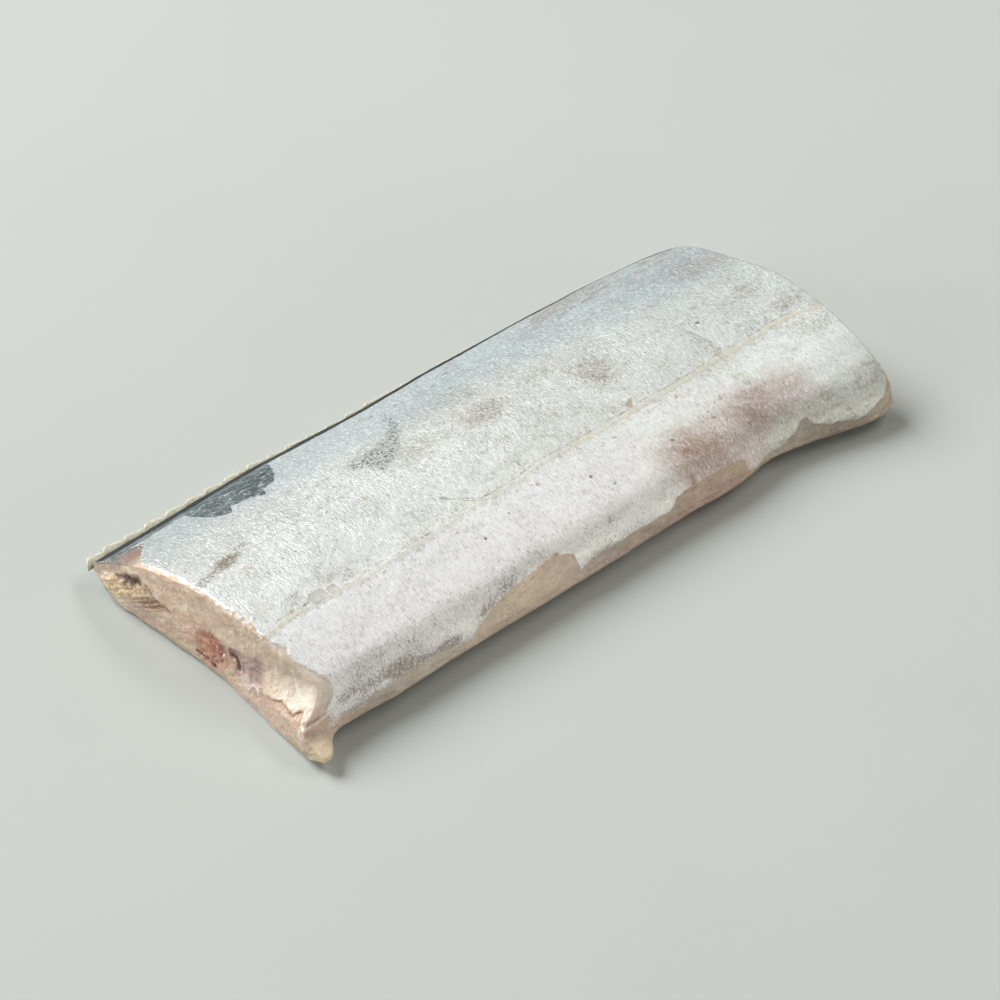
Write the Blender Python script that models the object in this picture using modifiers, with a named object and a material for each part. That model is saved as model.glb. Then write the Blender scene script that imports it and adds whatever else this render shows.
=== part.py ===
"""Semi-dried hairtail: one cross-cut length of a ribbon-shaped silver fish,
lying on its side.

Three solids:
  flesh       the body, cut square at both ends, with a flat underside
  dorsal_fin  the folded strip of fin rays along the back edge
  backbone    the column of vertebrae that shows at the cut and runs through

Frame: +X along the fish from the near cut to the far cut, +Y towards the back
edge, +Z up.  The origin is under the middle of the piece, on the surface that
it lies on.  Lengths below are millimetres; the meshes are metres.
"""
import bpy
import bmesh
import math
import numpy as np

MM = 0.001

# ------------------------------------------------------------------ sizes ---
HALF_LENGTH = 78.9          # cut to cut, measured from the middle of the fish
MID_X = -0.51               # middle of the whole piece, in the fish's own axes
MID_Y = 1.60

TOP_HEIGHT_NEAR = 18.5      # highest point of the back at the near cut
TOP_HEIGHT_FAR = 18.2       # the same at the far cut
RIDGE_Z_NEAR = 5.1          # height of the sharp back edge
RIDGE_Z_FAR = 7.2
RIDGE_HALF = 0.75           # half thickness of that edge
BELLY_Z = 3.3               # height of the rounded belly edge
BELLY_HALF = 0.9
FLAT_BACK = 25.0            # the underside is flat between these two
FLAT_BELLY = -23.0

# outline seen from above: (x, y) along the back edge and the belly edge
BACK_EDGE = [(-79, 35.1), (-60, 35.8), (-40, 36.3), (-15, 35.9), (15, 36.3),
             (50, 35.9), (64, 35.0), (74, 34.1), (79, 33.1)]
BELLY_EDGE = [(-79, -31.2), (-40, -31.1), (28, -30.9), (38, -29.9), (46, -28.9),
              (54, -30.1), (63, -32.4), (70, -34.3), (74, -34.6), (79, -32.8)]

# height of the upper side across the fish: (share of the way from the back
# edge to the belly edge, share of the top height)
DOME = [(0.0, 0.30), (0.028, 0.38), (0.064, 0.467), (0.156, 0.652),
        (0.245, 0.793), (0.335, 0.892), (0.416, 0.957), (0.513, 0.997),
        (0.602, 0.984), (0.69, 0.935), (0.78, 0.848), (0.861, 0.732),
        (0.922, 0.622), (0.955, 0.525), (0.985, 0.392), (1.0, 0.25)]

# the near cut, across the fish: how far it stands back from the lowest rim
NEAR_FOOT = [(-35, 0.3), (-31, -0.3), (-25, 0.2), (-18, 0.6), (-10, 1.1),
             (-4, 1.7), (4, 1.5), (12, 0.8), (21, 0.1), (28, -0.6), (36, -0.1)]
NEAR_TOP = [(-35, 6.8), (-31, 7.2), (-26, 6.6), (-20, 5.3), (-14, 4.2),
            (-8, 3.2), (0, 2.4), (10, 1.6), (20, 1.0), (28, 0.5), (36, -0.2)]
FAR_TOP = 0.3               # the far cut leans a little too
CUT_FADE = 13.0             # how fast the cut's shape fades along the fish

LOBE_OUT = 4.5              # tip of the lower flap at the near belly corner
LOBE_X = -77.6
LOBE_WIDTH = 3.7

BONE_Y, BONE_Z = -5.2, 5.1  # middle of the backbone in the section
BONE_RADIUS = 2.4
BONE_GAP = 0.3
BONE_NEAR, BONE_FAR = -76.9, 78.2

FIN_START, FIN_END = -79.9, 28.0
RAY_PITCH = 5.15            # spacing of the fin rays
RAY_OUT_NEAR, RAY_OUT_FAR = 2.3, 1.3
RAY_STEP = 0.75             # how far each ray stands out past the next
FIN_THICK = 0.75
FIN_GAP = 0.36

# columns across the section and stations along the fish
COLUMNS = [0.0, 0.012, 0.045, 0.10, 0.17, 0.26, 0.36, 0.46, 0.56, 0.66, 0.76,
           0.85, 0.915, 0.957, 0.986, 1.0]
ROWS = 3
STATIONS = [0, 0.9, 2.4, 4.6, 8, 13, 20, 29, 39, 50, 61, 72, 83, 94, 104, 113,
            120, 126, 131, 136, 141, 146, 150.5, 154, 156.4, 157.8]


# ---------------------------------------------------------------- helpers ---
def curve(points, t):
    """Smooth monotone curve through a few (t, value) points."""
    p = sorted(points)
    xs = np.array([a for a, _ in p], float)
    ys = np.array([b for _, b in p], float)
    h = np.diff(xs)
    d = np.diff(ys) / h
    m = np.zeros(len(xs))
    m[0], m[-1] = d[0], d[-1]
    for i in range(1, len(xs) - 1):
        if d[i - 1] * d[i] > 0:
            w1, w2 = 2 * h[i] + h[i - 1], h[i] + 2 * h[i - 1]
            m[i] = (w1 + w2) / (w1 / d[i - 1] + w2 / d[i])
    t = min(max(float(t), xs[0]), xs[-1])
    i = min(int(np.searchsorted(xs, t, side="right")) - 1, len(h) - 1)
    s = (t - xs[i]) / h[i]
    return ((1 + 2 * s) * (1 - s) ** 2 * ys[i] + s * (1 - s) ** 2 * h[i] * m[i]
            + s * s * (3 - 2 * s) * ys[i + 1] + s * s * (s - 1) * h[i] * m[i + 1])


def smooth(a, b, t):
    s = min(max((t - a) / (b - a), 0.0), 1.0)
    return s * s * (3 - 2 * s)


def along(x):
    return min(max((x + HALF_LENGTH) / (2 * HALF_LENGTH), 0.0), 1.0)


def ridge_z(x):
    return RIDGE_Z_NEAR + (RIDGE_Z_FAR - RIDGE_Z_NEAR) * along(x)


def lobe(x):
    """The lower belly flap that sticks out beside the near cut."""
    return LOBE_OUT * math.exp(-((x - LOBE_X) / LOBE_WIDTH) ** 2)


def top_z(x, a):
    height = TOP_HEIGHT_NEAR + (TOP_HEIGHT_FAR - TOP_HEIGHT_NEAR) * along(x)
    low = ridge_z(x) + RIDGE_HALF
    z = curve(DOME, a) * height
    # the back edge rises towards the far cut, so the dome starts from it
    return z + (low - 0.30 * height) * (1 - smooth(0.0, 0.30, a))


def foot_z(x, y, a):
    if y > FLAT_BACK:
        edge = curve(BACK_EDGE, x)
        s = min((y - FLAT_BACK) / (edge - FLAT_BACK), 1.0)
        return (ridge_z(x) - RIDGE_HALF) * s ** 1.7
    if y < FLAT_BELLY:
        edge = curve(BELLY_EDGE, x)
        s = min((FLAT_BELLY - y) / (FLAT_BELLY - edge), 1.0)
        return (BELLY_Z - BELLY_HALF) * s ** 1.8
    return 0.0


def section_point(x, a, s):
    """Point of the section at station x: a runs from back to belly, s from
    the underside to the upper side."""
    back, belly = curve(BACK_EDGE, x), curve(BELLY_EDGE, x)
    y = back + (belly - back) * a
    z0, z1 = foot_z(x, y, a), top_z(x, a)
    if a > 0.999:
        z1 = BELLY_Z + BELLY_HALF
    z = z0 + (z1 - z0) * s
    out = lobe(x) * smooth(0.86, 1.0, a) * (1 - smooth(3.4, 6.4, z))
    return y - out, z


def near_shape(y, z):
    share = smooth(-0.15, 1.0, z / TOP_HEIGHT_NEAR * 1.15)
    if y < -12:
        # the upper fillet stands well back of the lower one here
        step = smooth(6.0, 11.5, z)
        blend = smooth(-12, -24, y)
        share = share * (1 - blend) + step * blend
    return curve(NEAR_FOOT, y) * (1 - share) + curve(NEAR_TOP, y) * share


def far_shape(y, z):
    return -FAR_TOP * smooth(0, TOP_HEIGHT_FAR, z)


def place(k, a, s):
    d = STATIONS[k]
    x = -HALF_LENGTH + d
    y, z = section_point(x, a, s)
    rest = STATIONS[-1] - d
    x += near_shape(y, z) * math.exp(-d / CUT_FADE)
    x += far_shape(y, z) * math.exp(-rest / CUT_FADE)
    return (x - MID_X) * MM, (y - MID_Y) * MM, z * MM


def new_object(name, mesh, collection):
    obj = bpy.data.objects.new(name, mesh)
    collection.objects.link(obj)
    return obj


def material(name, colour, rough, metal=0.0):
    m = bpy.data.materials.new(name)
    m.use_nodes = True
    b = m.node_tree.nodes["Principled BSDF"]
    b.inputs["Base Color"].default_value = (*colour, 1.0)
    b.inputs["Roughness"].default_value = rough
    b.inputs["Metallic"].default_value = metal
    m.diffuse_color = (*colour, 1.0)
    return m


# ------------------------------------------------------------------- body ---
def build_flesh(collection):
    """A cage lofted between unlike sections, rounded by subdivision."""
    bm = bmesh.new()
    crease = bm.edges.layers.float.new("crease_edge")
    n, cols = len(STATIONS), len(COLUMNS)
    ring = ([(i, ROWS) for i in range(cols)]
            + [(cols - 1, j) for j in range(ROWS - 1, -1, -1)]
            + [(i, 0) for i in range(cols - 2, -1, -1)]
            + [(0, j) for j in range(1, ROWS)])
    grids = {}
    for k in range(n):
        for i in range(cols):
            for j in range(ROWS + 1):
                edge = i in (0, cols - 1) or j in (0, ROWS)
                if edge or k in (0, n - 1):
                    grids[k, i, j] = bm.verts.new(place(k, COLUMNS[i], j / ROWS))
    sharp = []
    for k in range(n - 1):
        for q in range(len(ring)):
            a, b = ring[q], ring[(q + 1) % len(ring)]
            bm.faces.new((grids[k, a[0], a[1]], grids[k, b[0], b[1]],
                          grids[k + 1, b[0], b[1]], grids[k + 1, a[0], a[1]]))
    for k in (0, n - 1):
        for i in range(cols - 1):
            for j in range(ROWS):
                f = [grids[k, i, j], grids[k, i + 1, j],
                     grids[k, i + 1, j + 1], grids[k, i, j + 1]]
                bm.faces.new(f if k else f[::-1])
        for q in range(len(ring)):
            a, b = ring[q], ring[(q + 1) % len(ring)]
            sharp.append(bm.edges.get((grids[k, a[0], a[1]], grids[k, b[0], b[1]])))
    for e in sharp:
        e[crease] = 0.75
    bmesh.ops.recalc_face_normals(bm, faces=bm.faces[:])
    mesh = bpy.data.meshes.new("flesh")
    bm.to_mesh(mesh)
    bm.free()
    mesh.shade_smooth()
    obj = new_object("flesh", mesh, collection)
    sub = obj.modifiers.new("round", "SUBSURF")
    sub.levels = 1
    sub.render_levels = 1
    return obj


def build_backbone(collection, cutters, flesh):
    length = BONE_FAR - BONE_NEAR
    mid = (BONE_FAR + BONE_NEAR) / 2 - MID_X
    for name, radius, depth, where in (
            ("backbone", BONE_RADIUS, length, collection),
            ("backbone_channel", BONE_RADIUS + BONE_GAP, length + 20, cutters)):
        bpy.ops.mesh.primitive_cylinder_add(
            vertices=18, radius=radius * MM, depth=depth * MM,
            location=(mid * MM, (BONE_Y - MID_Y) * MM, BONE_Z * MM),
            rotation=(0.0, math.pi / 2, 0.0))
        obj = bpy.context.object
        obj.name = name
        obj.data.name = name
        for c in list(obj.users_collection):
            c.objects.unlink(obj)
        where.objects.link(obj)
        if where is cutters:
            obj.hide_render = True
            obj.display_type = "WIRE"
            cut = flesh.modifiers.new("backbone channel", "BOOLEAN")
            cut.operation = "DIFFERENCE"
            cut.solver = "EXACT"
            cut.object = obj
        else:
            bone = obj
            bone.data.shade_smooth()
            bone.data.set_sharp_from_angle(angle=math.radians(40))
    return bone


# -------------------------------------------------------------------- fin ---
def build_fin(collection):
    """Rays folded back along the ridge, each lapping the next like shingles."""
    span = FIN_END - FIN_START
    rays = int(span / RAY_PITCH)
    stops = []                                   # (x, how far out)
    for r in range(rays + 1):
        x = FIN_START + r * RAY_PITCH
        t = r / rays
        out = RAY_OUT_NEAR + (RAY_OUT_FAR - RAY_OUT_NEAR) * t
        step = RAY_STEP * (1 - 0.35 * t) * (1.15 if r % 3 == 1 else 1.0)
        if r:
            stops.append((x - 0.55, out - step))     # root of the ray before
        stops.append((x, out if r else out - 0.9))   # free end of this ray
        if r == 0:
            stops.append((x + 0.9, out))
        if r < rays:
            stops.append((x + RAY_PITCH * 0.5, out - 0.45 * step))
    stops.append((FIN_END, 0.5))
    bm = bmesh.new()
    slices = []
    for x, out in stops:
        y0 = curve(BACK_EDGE, x)
        z0 = ridge_z(x)
        inner = (y0 + FIN_GAP - 0.05, z0 - 1.55)
        outer = (y0 + FIN_GAP + out, z0 - 0.35)
        dy, dz = outer[0] - inner[0], outer[1] - inner[1]
        ln = math.hypot(dy, dz)
        ny, nz = -dz / ln * FIN_THICK / 2, dy / ln * FIN_THICK / 2
        slices.append([bm.verts.new(((x - MID_X) * MM, (y - MID_Y) * MM, z * MM))
                       for y, z in ((inner[0] - ny, inner[1] - nz),
                                    (outer[0] - ny * 0.6, outer[1] - nz * 0.6),
                                    (outer[0] + ny * 0.6, outer[1] + nz * 0.6),
                                    (inner[0] + ny, inner[1] + nz))])
    for p, q in zip(slices, slices[1:]):
        for i in range(4):
            j = (i + 1) % 4
            bm.faces.new((p[i], p[j], q[j], q[i]))
    bm.faces.new(slices[0])
    bm.faces.new(slices[-1][::-1])
    bmesh.ops.recalc_face_normals(bm, faces=bm.faces[:])
    mesh = bpy.data.meshes.new("dorsal_fin")
    bm.to_mesh(mesh)
    bm.free()
    return new_object("dorsal_fin", mesh, collection)


def main():
    for obj in list(bpy.data.objects):
        bpy.data.objects.remove(obj, do_unlink=True)
    scene = bpy.context.scene
    fish = bpy.data.collections.new("semi_dried_hairtail")
    cutters = bpy.data.collections.new("cutters")
    scene.collection.children.link(fish)
    scene.collection.children.link(cutters)

    flesh = build_flesh(fish)
    flesh.data.materials.append(material("silver_skin", (0.66, 0.70, 0.70), 0.38, 0.25))
    fin = build_fin(fish)
    fin.data.materials.append(material("fin_membrane", (0.62, 0.58, 0.42), 0.5))
    bone = build_backbone(fish, cutters, flesh)
    bone.data.materials.append(material("bone", (0.50, 0.30, 0.20), 0.55))


main()
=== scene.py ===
import math
import bpy
import numpy as np
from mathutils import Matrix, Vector
from mathutils.geometry import delaunay_2d_cdt

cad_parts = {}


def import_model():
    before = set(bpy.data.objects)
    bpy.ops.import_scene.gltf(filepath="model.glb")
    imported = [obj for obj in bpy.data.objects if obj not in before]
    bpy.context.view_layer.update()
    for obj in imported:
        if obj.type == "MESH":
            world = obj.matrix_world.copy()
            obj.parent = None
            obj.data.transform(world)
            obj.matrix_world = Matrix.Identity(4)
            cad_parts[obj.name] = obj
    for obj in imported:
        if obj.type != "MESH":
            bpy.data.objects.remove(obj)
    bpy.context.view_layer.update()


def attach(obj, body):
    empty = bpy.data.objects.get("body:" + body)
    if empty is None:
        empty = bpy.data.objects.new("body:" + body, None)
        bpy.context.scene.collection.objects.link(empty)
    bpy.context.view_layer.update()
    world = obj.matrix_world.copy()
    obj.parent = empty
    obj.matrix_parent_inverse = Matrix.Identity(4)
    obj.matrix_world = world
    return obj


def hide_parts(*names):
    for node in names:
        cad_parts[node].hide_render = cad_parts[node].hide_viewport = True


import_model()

MID_X, MID_Y = -0.51, 1.60
HALF_LENGTH = 78.9
TOP_HEIGHT_NEAR, TOP_HEIGHT_FAR = 18.5, 18.2
RIDGE_Z_NEAR, RIDGE_Z_FAR, RIDGE_HALF = 5.1, 7.2, 0.75
BELLY_Z, BELLY_HALF = 3.3, 0.9
FLAT_BACK, FLAT_BELLY = 25.0, -23.0
BACK_EDGE = [(-79, 35.1), (-60, 35.8), (-40, 36.3), (-15, 35.9), (15, 36.3),
             (50, 35.9), (64, 35.0), (74, 34.1), (79, 33.1)]
BELLY_EDGE = [(-79, -31.2), (-40, -31.1), (28, -30.9), (38, -29.9), (46, -28.9),
              (54, -30.1), (63, -32.4), (70, -34.3), (74, -34.6), (79, -32.8)]
DOME = [(0.0, 0.30), (0.028, 0.38), (0.064, 0.467), (0.156, 0.652),
        (0.245, 0.793), (0.335, 0.892), (0.416, 0.957), (0.513, 0.997),
        (0.602, 0.984), (0.69, 0.935), (0.78, 0.848), (0.861, 0.732),
        (0.922, 0.622), (0.955, 0.525), (0.985, 0.392), (1.0, 0.25)]
NEAR_FOOT = [(-35, 0.3), (-31, -0.3), (-25, 0.2), (-18, 0.6), (-10, 1.1),
             (-4, 1.7), (4, 1.5), (12, 0.8), (21, 0.1), (28, -0.6), (36, -0.1)]
NEAR_TOP = [(-35, 6.8), (-31, 7.2), (-26, 6.6), (-20, 5.3), (-14, 4.2),
            (-8, 3.2), (0, 2.4), (10, 1.6), (20, 1.0), (28, 0.5), (36, -0.2)]
FAR_TOP = 0.3
CUT_FADE = 13.0
LOBE_OUT, LOBE_X, LOBE_WIDTH = 4.5, -77.6, 3.7
BONE_Y, BONE_Z, BONE_RADIUS, BONE_GAP = -5.2, 5.1, 2.4, 0.3
BONE_NEAR, BONE_FAR = -76.9, 78.2
HOLE_RADIUS = 2.43
FIN_START, FIN_END, RAY_PITCH = -79.9, 28.0, 5.15
RAY_OUT_NEAR, RAY_OUT_FAR = 2.3, 1.3

W_POWER, K_POWER, S_POWER, T_POWER, U_POWER = 0.13, 67.0, 5.3, 6.2, 5.2


# ================================================================ numbers ====
def curve(points, t):
    """Smooth monotone curve through a few (t, value) points."""
    p = sorted(points)
    xs = np.array([a for a, _ in p], float)
    ys = np.array([b for _, b in p], float)
    h = np.diff(xs)
    d = np.diff(ys) / h
    m = np.zeros(len(xs))
    m[0], m[-1] = d[0], d[-1]
    for i in range(1, len(xs) - 1):
        if d[i - 1] * d[i] > 0:
            w1, w2 = 2 * h[i] + h[i - 1], h[i] + 2 * h[i - 1]
            m[i] = (w1 + w2) / (w1 / d[i - 1] + w2 / d[i])
    t = np.clip(np.asarray(t, float), xs[0], xs[-1])
    i = np.clip(np.searchsorted(xs, t, side="right") - 1, 0, len(h) - 1)
    s = (t - xs[i]) / h[i]
    return ((1 + 2 * s) * (1 - s) ** 2 * ys[i] + s * (1 - s) ** 2 * h[i] * m[i]
            + s * s * (3 - 2 * s) * ys[i + 1] + s * s * (s - 1) * h[i] * m[i + 1])


def line(points, t):
    p = sorted(points)
    return np.interp(t, [a for a, _ in p], [b for _, b in p])


def smooth(a, b, t):
    s = np.clip((np.asarray(t, float) - a) / (b - a), 0.0, 1.0)
    return s * s * (3 - 2 * s)


def _hash(ix, iy, iz, seed):
    n = (ix.astype(np.int64) * 374761393 + iy.astype(np.int64) * 668265263
         + iz.astype(np.int64) * 2147483647 + seed * 1274126177) & 0xFFFFFFFF
    n = ((n ^ (n >> 13)) * 1274126177) & 0xFFFFFFFF
    n = ((n ^ (n >> 16)) * 2246822519) & 0xFFFFFFFF
    n = n ^ (n >> 15)
    return (n & 0xFFFFFF) / float(0xFFFFFF) * 2.0 - 1.0


def noise(x, y, z=0.0, seed=0):
    """Smooth value noise from -1 to 1."""
    x, y, z = np.broadcast_arrays(np.asarray(x, float), np.asarray(y, float),
                                  np.asarray(z, float))
    fx, fy, fz = np.floor(x), np.floor(y), np.floor(z)
    ux, uy, uz = x - fx, y - fy, z - fz
    ux, uy, uz = (u * u * u * (u * (u * 6 - 15) + 10) for u in (ux, uy, uz))
    out = 0.0
    for i in (0, 1):
        for j in (0, 1):
            for k in (0, 1):
                w = ((ux if i else 1 - ux) * (uy if j else 1 - uy)
                     * (uz if k else 1 - uz))
                out = out + w * _hash(fx + i, fy + j, fz + k, seed)
    return out


def fbm(x, y, z=0.0, octaves=4, seed=0, gain=0.5):
    out, amp, total, f = 0.0, 1.0, 0.0, 1.0
    for o in range(octaves):
        out = out + amp * noise(np.asarray(x) * f + 17.3 * o,
                                np.asarray(y) * f - 9.1 * o,
                                np.asarray(z) * f + 4.7 * o, seed + o)
        total += amp
        amp *= gain
        f *= 2.03
    return out / total


def stroke(x, y, pts):
    """Distance to a line through a few points."""
    best = np.full(np.broadcast(x, y).shape, 1e9)
    for (ax, ay), (bx, by) in zip(pts, pts[1:]):
        dx, dy = bx - ax, by - ay
        t = np.clip(((x - ax) * dx + (y - ay) * dy) / (dx * dx + dy * dy), 0, 1)
        best = np.minimum(best, np.hypot(x - ax - t * dx, y - ay - t * dy))
    return best


def patch(x, y, pts):
    """Signed distance to a closed outline, positive inside."""
    ring = list(pts) + [pts[0]]
    d = stroke(x, y, ring)
    inside = np.zeros(d.shape, bool)
    for (ax, ay), (bx, by) in zip(ring, ring[1:]):
        if ay == by:
            continue
        hit = (ay > y) != (by > y)
        inside ^= hit & (x < (bx - ax) * (y - ay) / (by - ay) + ax)
    return np.where(inside, d, -d)


def spot(x, y, cx, cy, rx, ry, turn=0.0):
    """Signed distance, roughly, to an oval; positive inside."""
    c, s = math.cos(math.radians(turn)), math.sin(math.radians(turn))
    u = ((x - cx) * c + (y - cy) * s) / rx
    v = (-(x - cx) * s + (y - cy) * c) / ry
    return (1 - np.hypot(u, v)) * min(rx, ry)


def rounded(x, y, cx, cy, rx, ry, r):
    """Distance inside a box with rounded corners."""
    dx, dy = np.abs(x - cx) - rx + r, np.abs(y - cy) - ry + r
    return r - np.hypot(np.maximum(dx, 0), np.maximum(dy, 0)) - np.minimum(np.maximum(dx, dy), 0)


def srgb(r, g, b):
    out = []
    for v in (r, g, b):
        v /= 255.0
        out.append(v / 12.92 if v <= 0.04045 else ((v + 0.055) / 1.055) ** 2.4)
    return np.array(out)


def mix(a, b, t):
    t = np.asarray(t)[..., None]
    return a * (1 - t) + b * t


def world(x, y, z):
    return np.stack([(np.asarray(x) - MID_X) * 0.001,
                     (np.asarray(y) - MID_Y) * 0.001,
                     np.asarray(z) * 0.001 + 0 * np.asarray(x)], -1)


# ============================================================= body shape ====
def along(x):
    return np.clip((x + HALF_LENGTH) / (2 * HALF_LENGTH), 0.0, 1.0)


def ridge_z(x):
    return RIDGE_Z_NEAR + (RIDGE_Z_FAR - RIDGE_Z_NEAR) * along(x)


def lobe(x):
    return LOBE_OUT * np.exp(-((x - LOBE_X) / LOBE_WIDTH) ** 2)


def top_z(x, a):
    height = TOP_HEIGHT_NEAR + (TOP_HEIGHT_FAR - TOP_HEIGHT_NEAR) * along(x)
    low = ridge_z(x) + RIDGE_HALF
    z = curve(DOME, a) * height
    z = z + (low - 0.30 * height) * (1 - smooth(0.0, 0.30, a))
    return z + (BELLY_Z + BELLY_HALF - 0.25 * height) * smooth(0.97, 1.0, a)


def tuck(x):
    """How far the belly edge is drawn in along the middle of the piece."""
    return line([(-76, 0.0), (-70, 1.0), (-63, 0.9), (-57, 0.4), (-50, 0.6),
                 (-44, 0.9), (24, 0.9), (30, 0.45), (36, 0.0)], x)


def foot_z(x, y):
    back, belly = curve(BACK_EDGE, x), curve(BELLY_EDGE, x)
    s1 = np.clip((y - FLAT_BACK) / (back - FLAT_BACK), 0, 1)
    s2 = np.clip((FLAT_BELLY - y) / (FLAT_BELLY - belly), 0, 1)
    return (ridge_z(x) - RIDGE_HALF) * s1 ** 1.7 + (BELLY_Z - BELLY_HALF) * s2 ** 1.8


def near_shape(y, z):
    share = smooth(-0.15, 1.0, z / TOP_HEIGHT_NEAR * 1.15)
    step = smooth(6.0, 11.5, z)
    blend = smooth(12, 24, -y)
    share = share * (1 - blend) + step * blend
    return curve(NEAR_FOOT, y) * (1 - share) + curve(NEAR_TOP, y) * share


def far_shape(y, z):
    return -FAR_TOP * smooth(0, TOP_HEIGHT_FAR, z)


def ring_plan(top_n, foot_n, nose_n):
    """Ring points as (kind, value): upper side, belly nose, underside, ridge nose."""
    a = np.linspace(0, 1, 4001)
    y = 36.0 - 67.0 * a
    z = top_z(0.0, a)
    s = np.concatenate([[0], np.cumsum(np.hypot(np.diff(y), np.diff(z)))])
    tops = np.interp(np.linspace(0, s[-1], top_n), s, a)
    kinds = [("top", v) for v in tops]
    ang = np.linspace(90, -90, nose_n + 2)[1:-1]
    kinds += [("belly", v) for v in ang]
    foot = 0.5 - 0.5 * np.cos(np.linspace(0, math.pi, foot_n))
    foot = 0.55 * foot + 0.45 * np.linspace(0, 1, foot_n)
    kinds += [("foot", 1 - v) for v in foot]
    kinds += [("ridge", -v) for v in ang]
    return kinds


def ring_points(x, kinds):
    """(y, z) for each station and ring point; x is a column of stations."""
    x = np.asarray(x, float)[:, None]
    back, belly = curve(BACK_EDGE, x), curve(BELLY_EDGE, x)
    ys, zs, aa = [], [], []
    for kind, v in kinds:
        if kind == "top":
            y = back + (belly - back) * v + tuck(x) * float(smooth(0.9, 1.0, v))
            z = top_z(x, np.full_like(x, v))
            a = v
        elif kind == "belly":
            r = math.radians(v)
            y = belly + tuck(x) - 0.5 * math.cos(r)
            z = BELLY_Z + BELLY_HALF * math.sin(r) + 0 * x
            a = 1.0
        elif kind == "foot":
            y = back + (belly - back) * v
            z = foot_z(x, y)
            y = y + tuck(x) * float(smooth(0.9, 1.0, v))
            a = v
        else:
            r = math.radians(v)
            y = back + 0.45 * math.cos(r)
            z = ridge_z(x) + RIDGE_HALF * math.sin(r)
            a = 0.0
        y = y - lobe(x) * smooth(0.86, 1.0, a) * (1 - smooth(3.4, 6.4, z))
        ys.append(y[:, 0])
        zs.append(z[:, 0])
    return np.stack(ys, 1), np.stack(zs, 1)


# ----------------------------------------------------------- what is where ---
# where the silver skin ends at the near cut: (y, x)
SKIN_END = [(-31.5, -71.6), (-30.5, -72.0), (-29.8, -72.5), (-29.2, -72.6),
            (-28.8, -71.0), (-27.9, -70.1), (-26.9, -69.2), (-25.7, -69.8),
            (-23.8, -70.9), (-21.1, -72.6), (-19, -73.0), (-17.6, -72.6),
            (-16.6, -72.9), (-15.5, -74.0), (-13, -74.4), (-11.2, -74.4),
            (-9.6, -74.6), (-7.6, -75.4), (-6.3, -74.9), (-3.8, -76.0),
            (-0.3, -76.5), (2.1, -76.7), (4.7, -76.8), (8.2, -76.6),
            (10.5, -77.0), (15.1, -77.1), (20.1, -77.3), (21.4, -76.9),
            (23.7, -75.0), (26.2, -73.2), (28.6, -70.9), (29.8, -71.6),
            (30.5, -74.6), (31.3, -79.0), (36.5, -80.5)]
# height on the belly side below which the silver has gone: (x, z)
BARE_BELLY = [(-80, 4.6), (-72.3, 4.5), (-69.6, 5.0), (-65.9, 4.9), (-60.9, 5.2), (-58.4, 5.5),
              (-55.7, 6.1), (-53, 6.2), (-50.3, 6.0), (-47.5, 5.9), (-45.1, 5.7), (-42.6, 5.2),
              (-40.3, 4.9), (-38.3, 4.6), (-36.9, 4.7), (-35.6, 5.8), (-34, 6.5), (-32.4, 7.5),
              (-30.5, 8.0), (-28.3, 8.5), (-25.8, 8.9), (-21.1, 9.3), (-16.3, 9.9), (-12.7, 10.3),
              (-11.9, 9.6), (-10.3, 9.1), (-9.2, 8.6), (-8.9, 7.3), (-8.7, 5.0), (-7.3, 5.4),
              (-5.3, 6.0), (0.1, 6.1), (7.8, 6.0), (15.5, 5.8), (17.3, 6.0), (18.4, 7.4),
              (22.5, 7.7), (28.8, 8.1), (34.6, 7.8), (37.1, 7.3), (38.2, 6.4), (38.7, 4.2),
              (41.2, 3.8), (43.7, 4.2), (49.1, 4.5), (50.4, 5.1), (51.6, 5.6), (52.7, 6.1),
              (53.8, 7.1), (54.5, 8.2), (56.3, 8.2), (56.7, 7.2), (58.1, 6.1), (61.3, 5.2),
              (64.4, 5.1), (66, 4.7), (67.6, 4.5), (69.6, 4.9), (71.6, 5.6), (73.6, 6.5),
              (75, 6.7), (76.6, 7.4), (78, 8.4), (80, 9.5)]
LATERAL = [(-79, -13.7), (-75, -13.7), (-65, -12.8), (-50, -13.2), (-40, -13.0),
           (-20, -12.0), (-10, -11.8), (0, -11.0), (20, -11.0), (40, -10.5),
           (50, -10.0), (65, -10.0), (70, -10.5), (78, -11.7)]
RIDGE_BAND = [(-80, 5.4), (-70, 5.0), (-60, 4.6), (-50, 3.9), (-36, 3.2),
              (-20, 2.6), (-5, 2.3), (15, 1.9), (25, 1.6), (32, 1.1),
              (42, 1.4), (50, 1.2), (55, 0.4), (69, 0.2), (72, 1.1),
              (77, 1.0), (80, 0.0)]
DARK_PATCH = [(-59.6, 34.5), (-59.6, 30.5), (-59.2, 25.8), (-57.6, 21.8),
              (-55.2, 20.5), (-53.3, 23.3), (-52.4, 22.6), (-50.8, 22.8),
              (-49.0, 21.9), (-46.9, 20.4), (-45.5, 23.1), (-42.6, 23.6),
              (-40.5, 25.8), (-38.5, 28.9), (-36.0, 34.0), (-37, 38), (-60, 38)]
ROUGH_PATCH = [(-31.0, 14.6), (-28.2, 16.9), (-25.4, 15.8), (-21.8, 16.8),
               (-19.4, 16.9), (-16.2, 19.6), (-13.8, 23.6), (-11.8, 26.0),
               (-11.6, 22.8), (-13.2, 19.4), (-14.6, 16.4), (-17.4, 13.6),
               (-20.6, 10.8), (-24.4, 8.2), (-28.0, 7.8), (-28.6, 11.2),
               (-30.6, 12.2)]
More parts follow.
